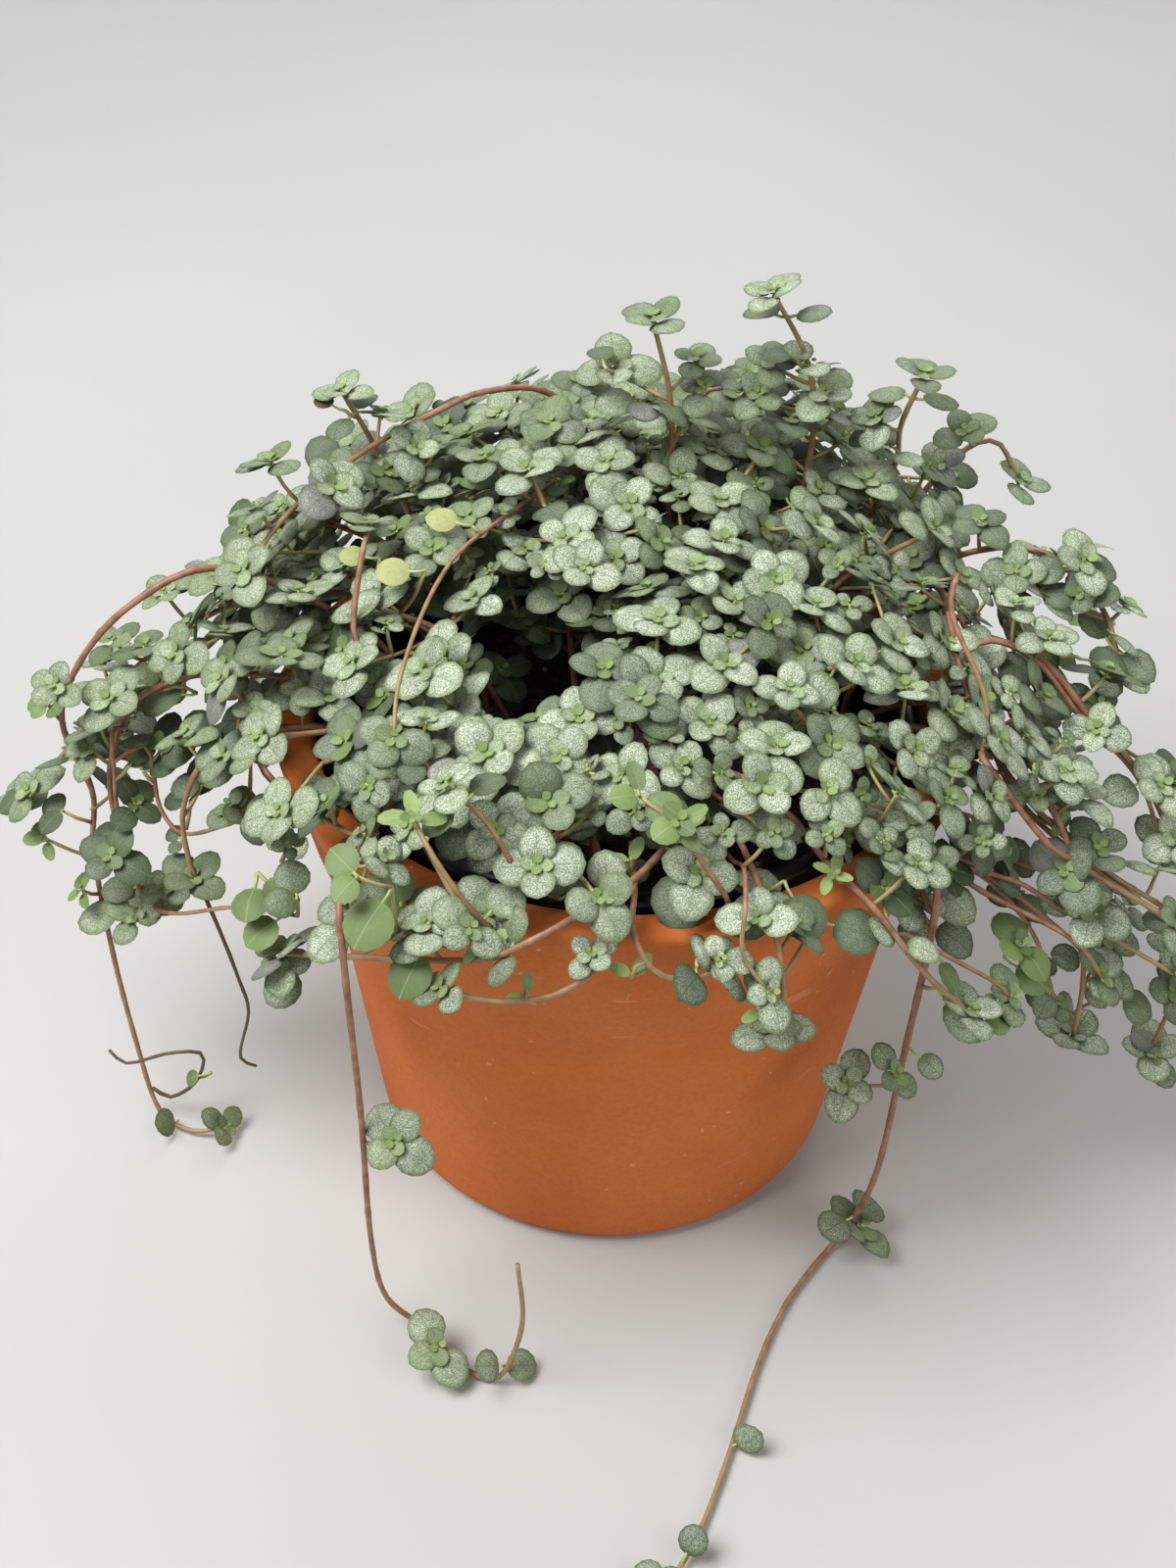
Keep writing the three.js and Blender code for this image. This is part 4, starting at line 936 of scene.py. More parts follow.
    def weave(self):
        for thickness, leaves, points in WOVEN:
            points = np.array(points, float)
            start, plant = self.start_for(points[0], WOVEN_REACH)
            stalk = self.add_shoot(plant, [start, *points], thickness)
            if leaves:
                axis = unit(stalk.direction(1) * WOVEN_AHEAD + np.array(WOVEN_UP))
                key = self.next_key()
                turn = draw_between(0, 3, key, 1)
                found = self.outer_leaves(points[-1], axis, turn, WOVEN_LEAF, leaves, TIGHT_ROOM, key)
                if found:
                    tone = "green" if draw(key, 2) < WOVEN_GREEN else "silver"
                    self.keep(plant, axis, found, leaves > 2, tone)

    def place_by_hand(self, table):
        for tone, rows in table.items():
            for x, y, z, radius, leaves in rows:
                spot = np.array([x, y, z], float)
                lean = polar(PLACED_LEAN * draw(self.count, 41), draw_between(0, TAU, self.count, 42))
                axis = unit(np.array([x / PLACED_SPREAD, y / PLACED_SPREAD - PLACED_FORWARD, 1.0]) + lean)
                if leaves == 1:
                    self.single_at(spot, axis, radius, tone)
                else:
                    self.rosette_at(spot, axis, radius, tone, outer=leaves, least=1, room=TIGHT_ROOM)

    def closed(self, tip, spacing):
        """Whether the tip is where the plant stays open, or too near another rosette."""
        return open_side(tip) or bool(np.min(lengths(np.array(self.garden.tips) - tip)) < spacing)

    def fill_mound(self, fill):
        for i in range(fill.count):
            angle = i * GOLDEN_ANGLE + FILL_TURN
            drop = draw_between(*fill.drops, MOUND_KEY, i, 1)
            tip = on_mound(mound_radius(angle) * math.sqrt((i + 0.5) / fill.count), angle, drop)
            past_front = abs(tip[0]) < FRONT_WIDTH and -tip[1] + FRONT_DROP * drop > FRONT_EDGE
            if past_front or tip[1] < fill.behind or self.closed(tip, fill.spacing):
                continue
            lean = polar(FILL_LEAN * draw(MOUND_KEY, i, 2), TAU * draw(MOUND_KEY, i, 3))
            tone = fill.tones[int(draw(MOUND_KEY, i, 5) * len(fill.tones))]
            size = draw_between(*fill.sizes, MOUND_KEY, i, 4)
            self.rosette_at(tip, unit(mound_axis(tip) + lean), size, tone)

    def fill_skirt(self):
        """Rosettes that hang a little way down outside the rim, except at the front."""
        for i in range(SKIRT_COUNT):
            angle = i * TAU / SKIRT_COUNT * SKIRT_TURNS + draw_within(SKIRT_TURN, SKIRT_KEY, i, 1)
            if math.sin(angle) < SKIRT_FRONT:
                continue
            tier = i % 3
            z = SKIRT_Z - SKIRT_TIER_DROP * tier - draw_between(0, SKIRT_DROP, SKIRT_KEY, i, 2)
            radius = mound_radius(angle) * (SKIRT_RADIUS + SKIRT_TIER_OUT * tier)
            radius += draw_within(SKIRT_OUT, SKIRT_KEY, i, 3)
            tip = polar(max(radius, CLAY_RIM + SKIRT_TO_RIM if z < CLAY_HEIGHT + 4 else 0), angle, z)
            if not self.closed(tip, SKIRT_SPACING):
                axis = unit(np.array([tip[0] / SKIRT_SPREAD, min(tip[1], SKIRT_BACK) / SKIRT_SPREAD, 1.0]))
                # The lowest tier takes the dark tone as painted shade under the edge of the mound, and a
                # share of every tier is dark as well.
                own_tone = draw(SKIRT_KEY, i, 7) < SKIRT_OWN_TONE
                tone = ("silver", "green", "dark")[tier] if own_tone else "dark"
                size = draw_between(*SKIRT_SIZES, SKIRT_KEY, i, 4)
                self.rosette_at(tip, axis, size, tone, reach=HANGING_REACH)

    def fill_long_stems(self):
        for plant, plan in zip(self.garden.plants, LONG_STEMS.values()):
            for stretch_index, (start, end) in enumerate(plan.fuller):
                count = max(1, round((end - start) * plant.main.length / SIDE_SPACING))
                for i in range(count):
                    keys = (SIDE_KEY, plant.number, stretch_index, i)
                    share = start + (end - start) * (i + draw(*keys, 1)) / count
                    self.side_rosette(plant, share, keys)

    def side_rosette(self, plant, share, keys):
        start = plant.main.point(share)
        first, second = square_to(plant.main.direction(share))
        for attempt in range(SIDE_TRIES):
            angle = draw_between(0, TAU, *keys, 2) + attempt * SIDE_TURN
            side = first * math.cos(angle) + second * math.sin(angle)
            tip = start + side * draw_between(*SIDE_REACH, *keys, 3) + UP * SIDE_LIFT
            low = tip[2] < SPARSE_BELOW
            if (low and draw(*keys, 7) < SPARSE_SHARE) or self.closed(tip, SIDE_ROOM):
                continue
            tones = ("silver", "green", "dark", "dark") if low else ("silver", "silver", "green", "dark")
            tone = tones[int(draw(*keys, 6) * 4)]
            size = draw_between(*SIDE_SIZES, *keys, 4)
            axis = unit(UP + side * SIDE_LEAN)
            if self.rosette_at(tip, axis, size, tone, reach=SIDE_SHOOT_REACH, least=3):
                return

    def clear_moved(self):
        for plant in self.garden.plants:
            if plant.name in MOVED:
                plant.whorls.pop(0)
                plant.shoots.pop(0)

    def grow(self):
        """The order counts: what comes first takes the room, and the woven and placed leaves lie on top."""
        self.clear_moved()
        self.weave()
        self.place_by_hand(PLACED)
        self.fill_mound(TOP_FILL)
        self.fill_long_stems()
        self.fill_skirt()
        self.lower_pairs()
        for fill in INNER_FILLS:
            self.fill_mound(fill)
        self.place_by_hand(PLACED_LAST)


# ---- Stamps: small meshes pressed many times into one piece -------------------------------------

STEM_SKIN, LEAF_STALK_SKIN, BLADE_UPPER, BLADE_UNDER = range(4)

BLADE_INSET, BLADE_LENGTH, BLADE_HALF_THICK, BLADE_POINT = 0.34, 1.03, 0.06, 0.09
OUTLINE_WAVE, SURFACE_WAVE = 0.015, 0.05


class BladeShape(NamedTuple):
    """How a leaf of radius 1 is domed, folded along its midrib, drooping at its tip, waved and wide."""

    dome: float
    fold: float
    droop: float
    wave: float
    width: float = 1.0
    segments: int = 12
    ringed: bool = True


GROWN = (
    BladeShape(0.17, 0.06, 0.03, 0.0, 1.05),
    BladeShape(0.24, 0.03, 0.06, 0.6, 1.08),
    BladeShape(0.15, 0.14, 0.04, -0.7),
    BladeShape(0.17, 0.07, 0.14, 1.0, 1.02),
    BladeShape(0.17, 0.07, 0.02, -1.2, 1.06),
)
NARROW = BladeShape(0.0, 0.2, 0.15, 0.4, 0.6, segments=10)
HALF_GROWN = BladeShape(-0.06, 0.12, 0.0, 0.4, segments=10)
BUD = BladeShape(-0.12, 0.18, -0.15, 0.0, segments=8, ringed=False)


def finished(name, bm, smooth=True):
    """The mesh of a bmesh that is done with."""
    if smooth:
        for face in bm.faces:
            face.smooth = True
    mesh = bpy.data.meshes.new(name)
    bm.to_mesh(mesh)
    bm.free()
    return mesh


class Stamp:
    """A small mesh that is bent to shape and pressed into a piece again and again."""

    def __init__(self, bm):
        self.mesh = finished("stamp", bm)
        shape = np.zeros(len(self.mesh.vertices) * 3, np.float32)
        self.mesh.vertices.foreach_get("co", shape)
        self.shape = shape.reshape(-1, 3).astype(float)

    def press(self, bm, places, **look):
        """Adds the stamp to bm with its vertices at these places, in millimetres."""
        self.mesh.vertices.foreach_set("co", (places * MM).astype(np.float32).ravel())
        for name, value in look.items():
            values = np.broadcast_to(value, len(self.shape)).astype(np.float32)
            self.mesh.attributes[name].data.foreach_set("value", values)
        bm.from_mesh(self.mesh)


def new_stamp_bmesh():
    bm = bmesh.new()
    bm.loops.layers.uv.new("blade")
    for name in ("age", "tint", "frost"):
        bm.verts.layers.float.new(name)
    return bm


def blade_stamp(shape):
    """A round leaf of radius 1 from its foot at the origin out along +X, upper side towards +Z."""
    bm = new_stamp_bmesh()
    bmesh.ops.create_circle(bm, cap_ends=True, segments=shape.segments, radius=1)
    if shape.ringed:
        bmesh.ops.inset_individual(bm, faces=bm.faces[:], thickness=BLADE_INSET)
    core = [face for face in bm.faces if len(face.verts) == shape.segments]
    bmesh.ops.poke(bm, faces=core)
    for face in bm.faces:
        face.material_index = BLADE_UPPER
    copied = bmesh.ops.duplicate(bm, geom=bm.faces[:])["geom"]
    under = [item for item in copied if isinstance(item, bmesh.types.BMFace)]
    bmesh.ops.reverse_faces(bm, faces=under)
    for face in under:
        face.material_index = BLADE_UNDER
    lower = {vert for face in under for vert in face.verts}
    outline = bm.loops.layers.uv["blade"]
    for face in bm.faces:
        for loop in face.loops:
            loop[outline].uv = (0.5 + loop.vert.co.x / 2, 0.5 + loop.vert.co.y / 2)
    for vert in bm.verts:
        vert.co = blade_spot(shape, vert.co, vert in lower)
    bmesh.ops.remove_doubles(bm, verts=bm.verts[:], dist=1e-4)
    for edge in bm.edges:
        edge.smooth = len({face.material_index for face in edge.link_faces}) == 1
    foot = min(bm.verts, key=lambda vert: vert.co.x).co.copy()
    bmesh.ops.translate(bm, verts=bm.verts[:], vec=-foot)
    return Stamp(bm)


def blade_spot(shape, flat, below):
    """Where a point of the flat disc goes on the upper side of the blade, or below it on the under side."""
    x, y = flat.x, flat.y
    away, angle = math.hypot(x, y), math.atan2(y, x)
    thickness = BLADE_HALF_THICK * (1 - away) if away < 0.99 else 0
    pointed = BLADE_POINT * max(0, math.cos(angle)) ** 8
    waved = shape.wave * OUTLINE_WAVE * math.sin(3 * angle + shape.wave)
    stretch = away * (1 + pointed + waved)
    height = -shape.dome * away * away + shape.fold * abs(y) - shape.droop * ((x + 1) / 2) ** 2
    height += SURFACE_WAVE * shape.wave * away * away * math.sin(2 * angle + 1)
    return (stretch * math.cos(angle) * BLADE_LENGTH, stretch * math.sin(angle) * shape.width,
            height + (-thickness if below else thickness))


def tube_stamp(sides, steps, skin):
    bm = new_stamp_bmesh()
    bmesh.ops.create_cone(bm, cap_ends=True, segments=sides, radius1=1, radius2=1, depth=1)
    if steps > 1:
        lengthwise = [edge for edge in bm.edges if abs(edge.verts[0].co.z - edge.verts[1].co.z) > 0.5]
        bmesh.ops.subdivide_edges(bm, edges=lengthwise, cuts=steps - 1, use_grid_fill=True)
    for face in bm.faces:
        face.material_index = skin
    return Stamp(bm)


class Press:
    """Presses tubes and blades into the mesh of one leafy stem."""

    def __init__(self):
        self.tubes = {}
        self.blades = {shape: blade_stamp(shape) for shape in (*GROWN, NARROW, HALF_GROWN, BUD)}

    def tube(self, bm, path, radii, sides, skin, ages, tint):
        steps = len(path) - 1
        key = (sides, steps, skin)
        if key not in self.tubes:
            self.tubes[key] = tube_stamp(*key)
        stamp = self.tubes[key]
        ring = np.rint((stamp.shape[:, 2] + 0.5) * steps).astype(int)
        first, second = rings_along(path)
        around = stamp.shape[:, :1] * first[ring] + stamp.shape[:, 1:2] * second[ring]
        places = path[ring] + np.asarray(radii)[ring][:, None] * around
        stamp.press(bm, places, age=np.asarray(ages)[ring], tint=tint)

    def blade(self, bm, shape, leaf, **look):
        stamp = self.blades[shape]
        side = np.cross(leaf.normal, leaf.outward)
        own = stamp.shape * leaf.radius
        places = leaf.foot() + own[:, :1] * leaf.outward + own[:, 1:2] * side + own[:, 2:] * leaf.normal
        stamp.press(bm, places, **look)

    def clear(self):
        for stamp in (*self.tubes.values(), *self.blades.values()):
            bpy.data.meshes.remove(stamp.mesh)


def rings_along(path):
    """Two directions across the path at each of its points, turning as little as they can."""
    tangent = np.gradient(path, axis=0)
    tangent /= np.linalg.norm(tangent, axis=1)[:, None]
    first = np.zeros_like(path)
    first[0] = square_to(tangent[0])[0]
    for i in range(1, len(path)):
        carried = first[i - 1] - tangent[i] * float(first[i - 1] @ tangent[i])
        first[i] = unit(carried)
    return first, np.cross(tangent, first)


# These factors keep the draws of the stems and leaves apart.
TENDRIL_KEYS, SHOOT_KEYS, LEAF_KEYS, WHORL_KEYS, HEART_KEYS = 31, 37, 1009, 7, 103

STEM_SIDES, SHOOT_SIDES, LEAF_STALK_SIDES, RING_SPACING = 6, 5, 4, 2.5
STEM_RADII, TENDRIL_RADII, SHOOT_THICKNESS, THINNING = (0.78, 0.52), (0.48, 0.34), 0.46, 0.8
STEM_AGES, TENDRIL_AGES, WOVEN_AGES, SHOOT_AGES = (1.0, 0.52), (1.3, 1.5), (0.9, 0.5), (0.6, 0.25)
KNOT_SPACING, KNOT_SWELL, KNOT_LENGTH = 11.0, 0.16, 1.3
LEAF_STALK_RADII, LEAF_STALK_SAG, LEAF_STALK_INTO, LEAST_LEAF_STALK = (0.42, 0.34, 0.3), 0.12, 0.35, 0.4

MAUVE_TINT, MAUVE_SHARE, MAUVE_FROST = 1.6, 0.955, 0.6
UPPER_YOUNGER, NARROW_SHARE = 0.12, 0.3
# Leaves lose frost from 45 mm left and from 15 mm behind the middle, over the next 35 and 30 mm.
FROST_LEFT, FROST_BACK, FROST_LOSS = (45, 35), (15, 30), 0.4
HEART_SIZES, HEART_RADII, HEART_TILTS, HEART_TURN, HEART_STALK = (0.8, 1.3), (0.85, 1.1), (-10, 8), 0.2, 0.25


def add_stalk(press, bm, stalk, sides, radii, ages, key):
    """A stem that thins and ages along its length, with knots where leaves have been."""
    steps = max(2, round(stalk.length / RING_SPACING))
    shares = np.arange(steps + 1) / steps
    knots = np.mod(shares * stalk.length / KNOT_SPACING + draw(key, 1), 1.0)
    swell = 1 + KNOT_SWELL * np.exp(-((knots - 0.5) * KNOT_SPACING / KNOT_LENGTH) ** 2)
    thickness = (radii[0] + (radii[1] - radii[0]) * shares) * swell
    own_ages = ages[0] + (ages[1] - ages[0]) * shares
    press.tube(bm, stalk.smooth(shares), thickness, sides, STEM_SKIN, own_ages, draw(key, 2))


def add_leaf(press, bm, leaf, tone, upper, key):
    ages, tints, frosts = TONES[tone]
    age = draw_between(*ages, key, 2) - (UPPER_YOUNGER if upper else 0)
    tint = draw_between(*tints, key, 4)
    left = (-leaf.centre[0] - FROST_LEFT[0]) / FROST_LEFT[1]
    back = (leaf.centre[1] - FROST_BACK[0]) / FROST_BACK[1]
    frost = draw_between(*frosts, key, 7) * (1 - FROST_LOSS * min(1, max(0, left, back)))
    if tone in ("silver", "dark") and draw(key, 5) > MAUVE_SHARE:
        tint, frost = MAUVE_TINT, frost * MAUVE_FROST
    shape = GROWN[int(draw(key, 3) * len(GROWN))]
    if tone == "young" or (tone == "plain" and draw(key, 6) < NARROW_SHARE):
        shape = NARROW
    add_leaf_stalk(press, bm, leaf, age, tint)
    press.blade(bm, shape, leaf, age=age, tint=tint, frost=frost)


def add_leaf_stalk(press, bm, leaf, age, tint):
    base, foot = leaf.base, leaf.foot()
    length = np.linalg.norm(foot - base)
    if length >= LEAST_LEAF_STALK:
        middle = (base + foot) / 2 - leaf.axis * LEAF_STALK_SAG * length
        path = np.array([base, middle, foot + unit(foot - base) * LEAF_STALK_INTO])
        press.tube(bm, path, LEAF_STALK_RADII, LEAF_STALK_SIDES, LEAF_STALK_SKIN, [age, age, age], tint)


def add_heart(press, bm, axis, outer, tone, key):
    """The small young leaves at the middle of a rosette, each pair across the last."""
    frosted = TONES[tone][2][0]
    for tier, (size, tilt, lift, age) in enumerate(HEART):
        own_size = size * draw_between(*HEART_SIZES, key, tier, 9)
        for half in (0, 1):
            keys = (key, tier, half)
            turn = outer.turn + half * math.pi + tier * math.pi / 2 + draw_within(HEART_TURN, *keys, 6)
            radius = outer.plan_radius * own_size * draw_between(*HEART_RADII, *keys, 7)
            own_tilt = tilt + draw_between(*HEART_TILTS, *keys, 8)
            leaf = Leaf(outer.base + axis * lift, axis, turn, own_tilt, HEART_STALK, radius)
            shape = HALF_GROWN if tier == 0 else BUD
            press.blade(bm, shape, leaf, age=age, tint=draw(*keys), frost=frosted * (1 - tier))


def fine_stalked(leaf, axis):
    """A leaf of the CAD part's rosettes as it sits here: on a shorter stalk, and an upper one higher."""
    if leaf.stalk == ROSETTE_UPPER[1]:
        size = leaf.plan_radius * UPPER_SIZE / ROSETTE_UPPER[2]
        return Leaf(leaf.base + axis * UPPER_LIFT, axis, leaf.turn, leaf.tilt_degrees, UPPER_STALK, size)
    if leaf.stalk == ROSETTE_LOWER[1]:
        return Leaf(leaf.base, axis, leaf.turn, leaf.tilt_degrees, LOWER_STALK, leaf.plan_radius)
    return leaf


def leafy_stem_mesh(press, plant):
    bm = bmesh.new()
    number = plant.number
    add_stalk(press, bm, plant.main, STEM_SIDES, STEM_RADII, STEM_AGES, number)
    for i, stalk in enumerate(plant.tendrils):
        add_stalk(press, bm, stalk, SHOOT_SIDES, TENDRIL_RADII, TENDRIL_AGES, number * TENDRIL_KEYS + i)
    for i, stalk in enumerate(plant.shoots):
        thick = stalk.thickness or SHOOT_THICKNESS
        ages = WOVEN_AGES if stalk.thickness else SHOOT_AGES
        radii = (thick, THINNING * thick)
        add_stalk(press, bm, stalk, SHOOT_SIDES, radii, ages, number * SHOOT_KEYS + i)
    for i, (axis, leaves, hearted, tone) in enumerate(plant.whorls):
        for j, leaf in enumerate(leaves):
            upper = leaf.stalk == ROSETTE_UPPER[1] or np.linalg.norm(leaf.base - leaves[0].base) > 0.1
            key = number * LEAF_KEYS + i * WHORL_KEYS + j
            add_leaf(press, bm, fine_stalked(leaf, axis), tone, upper, key)
        if hearted:
            add_heart(press, bm, axis, leaves[0], tone, number * HEART_KEYS + i)
    return finished(plant.name, bm, smooth=False)


# ---- Materials ----------------------------------------------------------------------------------

CLAY_GRAIN, CLAY_FLECK, CLAY_SCRATCH = (0.30, 0.085, 0.03), (0.78, 0.42, 0.24), (0.74, 0.36, 0.20)
PLASTIC, PLASTIC_DUST = (0.008, 0.008, 0.009), (0.045, 0.036, 0.028)
SOIL_DARK, SOIL_LIGHT, SOIL_FIBRE = (0.010, 0.006, 0.004), (0.052, 0.033, 0.022), (0.17, 0.11, 0.07)
BARK_COLORS = (0.018, 0.010, 0.006), (0.095, 0.055, 0.032)
GRIT_COLORS = (0.42, 0.38, 0.31), (0.62, 0.58, 0.50)
STEM_WORN, STEM_YOUNG, STEM_DRY = (0.36, 0.185, 0.11), (0.36, 0.36, 0.13), (0.10, 0.06, 0.035)
LEAF_STALK_DEEP, LEAF_STALK_PALE = (0.30, 0.40, 0.12), (0.46, 0.50, 0.22)
LEAF_MAUVE, LEAF_DRY, LEAF_PALE = (0.10, 0.098, 0.088), (0.06, 0.035, 0.02), (0.42, 0.44, 0.17)
LEAF_MOTTLE, LEAF_RIB = (0.075, 0.11, 0.045), (0.42, 0.5, 0.24)
UNDER_DEEP, UNDER_PALE, UNDER_YOUNG = (0.11, 0.18, 0.065), (0.20, 0.28, 0.12), (0.35, 0.47, 0.14)
GROUND_COLORS = (0.45, 0.448, 0.435), (0.48, 0.478, 0.465)
CLAY_GLOSS, LEAF_GLOSS = 0.25, 0.35


class Finish:
    """A node material with short words for adding and joining its nodes."""

    def __init__(self, name):
        self.material = bpy.data.materials.new(name)
        self.material.use_nodes = True
        self.tree = self.material.node_tree
        self.surface = self.tree.nodes["Principled BSDF"]
        self.place = self.node("ShaderNodeTexCoord").outputs["Object"]

    def node(self, kind, sockets=None, **options):
        node = self.tree.nodes.new(kind)
        for name, value in options.items():
            setattr(node, name, value)
        for name, value in (sockets or {}).items():
            self.feed(node.inputs[name], value)
        return node

    def feed(self, socket, value):
        if isinstance(value, bpy.types.NodeSocket):
            self.tree.links.new(value, socket)
        else:
            socket.default_value = value

    def noise(self, scale, detail=2.0, roughness=0.5, place=None):
        sockets = {"Vector": place or self.place, "Scale": scale, "Detail": detail, "Roughness": roughness}
        return self.node("ShaderNodeTexNoise", sockets).outputs["Fac"]

    def stretch(self, value, low, high, to_low=0.0, to_high=1.0):
        sockets = {"Value": value, "From Min": low, "From Max": high, "To Min": to_low, "To Max": to_high}
        return self.node("ShaderNodeMapRange", sockets).outputs["Result"]

    def math(self, operation, first, second=0.0):
        node = self.node("ShaderNodeMath", operation=operation)
        self.feed(node.inputs[0], first)
        self.feed(node.inputs[1], second)
        return node.outputs[0]

    def product(self, first, *others):
        for other in others:
            first = self.math("MULTIPLY", first, other)
        return first

    def mix(self, share, first, second):
        node = self.node("ShaderNodeMix", data_type="RGBA")
        self.feed(node.inputs[0], share)
        for socket, color in zip(node.inputs[6:8], (first, second)):
            self.feed(socket, color if isinstance(color, bpy.types.NodeSocket) else (*color, 1))
        return node.outputs[2]

    def attribute(self, name):
        return self.node("ShaderNodeAttribute", attribute_name=name).outputs["Fac"]

    def coat(self, color, roughness, height=None, strength=0, distance=0):
        """Colour, roughness and bump on the surface. Returns the material. The distance is in metres."""
        self.feed(self.surface.inputs["Base Color"], color)
        self.feed(self.surface.inputs["Roughness"], roughness)
        if height:
            sockets = {"Height": height, "Strength": strength, "Distance": distance}
            self.feed(self.surface.inputs["Normal"], self.node("ShaderNodeBump", sockets).outputs["Normal"])
        return self.material


def clay_finish(settings):
    """Orange clay with paler clouds, fine grain, pale flecks and slanting scratches."""
    finish = Finish("terracotta")
    clouds = finish.stretch(finish.noise(22, 4.0, 0.6), 0.35, 0.68)
    grain = finish.noise(900, 3.0, 0.6)
    flecks = finish.stretch(finish.noise(330, 1.0), 0.75, 0.79, 0.0, 0.5)
    sockets = {"Vector": finish.place, "Scale": (1, 1, 7), "Rotation": (0.4, 0.3, 0)}
    slanted = finish.node("ShaderNodeMapping", sockets).outputs["Vector"]
    scratches = finish.stretch(finish.noise(60, 2.0, 0.4, slanted), 0.70, 0.76, 0.0, 0.35)
    color = finish.mix(clouds, settings.clay_color, settings.clay_light)
    color = finish.mix(finish.stretch(grain, 0.42, 0.75, 0.0, 0.22), color, CLAY_GRAIN)
    color = finish.mix(flecks, color, CLAY_FLECK)
    color = finish.mix(scratches, color, CLAY_SCRATCH)
    finish.surface.inputs["Specular IOR Level"].default_value = CLAY_GLOSS
    height = finish.math("ADD", grain, finish.product(clouds, 0.6))
    return finish.coat(color, finish.stretch(grain, 0.3, 0.7, 0.74, 0.9), height, 0.18, 0.0004)


def liner_finish():
    finish = Finish("black_plastic")
    dust = finish.stretch(finish.noise(140, 4.0, 0.7), 0.5, 0.75)
    color = finish.mix(dust, PLASTIC, PLASTIC_DUST)
    return finish.coat(color, finish.stretch(dust, 0, 1, 0.28, 0.7), finish.noise(1400), 0.1, 0.0002)


def soil_finish():
    finish = Finish("potting_mix")
    lumps = finish.noise(260, 5.0, 0.7)
    fibres = finish.stretch(finish.noise(900), 0.66, 0.74, 0.0, 0.7)
    color = finish.mix(finish.stretch(lumps, 0.35, 0.7), SOIL_DARK, SOIL_LIGHT)
    return finish.coat(finish.mix(fibres, color, SOIL_FIBRE), 0.95, lumps, 0.7, 0.0012)


def crumb_finish(name, colors):
    finish = Finish(name)
    mottle = finish.noise(800, 3.0, 0.6)
    return finish.coat(finish.mix(finish.stretch(mottle, 0.3, 0.7), *colors), 0.9, mottle, 0.5, 0.0005)


def stem_finish(settings):
    """Green when young, then streaked brown, and dark when dried."""
    finish = Finish("stem_skin")
    age = finish.attribute("age")
    streaks = finish.noise(420)
    old = finish.mix(finish.stretch(streaks, 0.3, 0.7), settings.stem_color, STEM_WORN)
    color = finish.mix(finish.stretch(age, 0.25, 0.7), STEM_YOUNG, old)
    color = finish.mix(finish.stretch(age, 1.15, 1.3), color, STEM_DRY)
    return finish.coat(color, 0.5, streaks, 0.2, 0.0003)


def leaf_stalk_finish():
    finish = Finish("leaf_stalk_skin")
    shade = finish.stretch(finish.noise(500), 0.3, 0.7)
    return finish.coat(finish.mix(shade, LEAF_STALK_DEEP, LEAF_STALK_PALE), 0.45, shade, 0.1, 0.0002)


def blade_upper_finish(settings):
    """Green under fine silver stipple, plainer along the midrib and the margin, yellow when young. The darker
    margin is partly the leaf's own green edge and partly painted shade that makes the blade look domed.
    """
    finish = Finish("leaf_upper_side")
    age, tint, frost = (finish.attribute(name) for name in ("age", "tint", "frost"))
    outline = finish.node("ShaderNodeUVMap", uv_map="blade").outputs["UV"]
    spot = finish.node("ShaderNodeSeparateXYZ", {"Vector": outline}).outputs
    across = finish.math("ABSOLUTE", finish.math("SUBTRACT", spot["Y"], 0.5))
    along = finish.math("SUBTRACT", spot["X"], 0.5)
    squares = finish.math("ADD", finish.product(across, across), finish.product(along, along))
    away = finish.math("SQRT", squares)

    stipple = finish.stretch(finish.noise(4000, 2.0, 0.6), 0.42, 0.60, 0.17, 1.0)
    cloud = finish.stretch(finish.noise(300), 0.3, 0.7, 0.6, 1.0)
    midrib = finish.stretch(across, 0.006, 0.03, 0.55, 1.0)
    # Less silver towards the rim: partly the green margin of the leaf, partly painted shade at the edge of
    # the domed blade.
    margin = finish.stretch(away, 0.5, 0.36, 0.12, 1.0)
    foot = finish.stretch(spot["X"], 0.02, 0.3, 0.3, 1.0)
    silver = finish.product(stipple, cloud, midrib, margin, foot, frost, settings.silver)
    green = finish.mix(tint, settings.leaf_green, settings.leaf_deep_green)
    green = finish.mix(finish.stretch(tint, 1.2, 1.4), green, LEAF_MAUVE)
    color = finish.mix(silver, green, settings.leaf_silver)

    fresh = finish.product(finish.stretch(spot["X"], 0.3, 0.0, 0.0, 0.5), finish.stretch(age, 1.0, 0.5))
    young = finish.math("MAXIMUM", finish.stretch(age, 0.62, 0.05, 0.0, 0.9), fresh)
    color = finish.mix(young, color, settings.leaf_young)
    color = finish.mix(finish.stretch(tint, 2.0, 2.3), color, LEAF_DRY)
    color = finish.mix(finish.stretch(tint, -0.4, -0.9, 0.0, 0.75), color, LEAF_PALE)
    mottle = finish.stretch(finish.noise(1100, 3.0, 0.6), 0.4, 0.7, 0.0, 0.22)
    color = finish.mix(mottle, color, LEAF_MOTTLE)
    rib = finish.product(finish.stretch(across, 0.004, 0.02, 0.35, 0.0), finish.stretch(frost, 0.3, 0.05))
    color = finish.mix(rib, color, LEAF_RIB)
    finish.surface.inputs["Specular IOR Level"].default_value = LEAF_GLOSS
    height = finish.math("ADD", finish.product(stipple, 0.3), finish.product(midrib, 0.5))
    return finish.coat(color, finish.stretch(stipple, 0, 1, 0.45, 0.62), height, 0.2, 0.0003)


def blade_under_finish():
    finish = Finish("leaf_under_side")
    mottle = finish.stretch(finish.noise(700, 3.0), 0.3, 0.7)
    color = finish.mix(mottle, UNDER_DEEP, UNDER_PALE)
    color = finish.mix(finish.stretch(finish.attribute("age"), 0.4, 0.05), color, UNDER_YOUNG)
    return finish.coat(color, 0.6, mottle, 0.15, 0.0002)


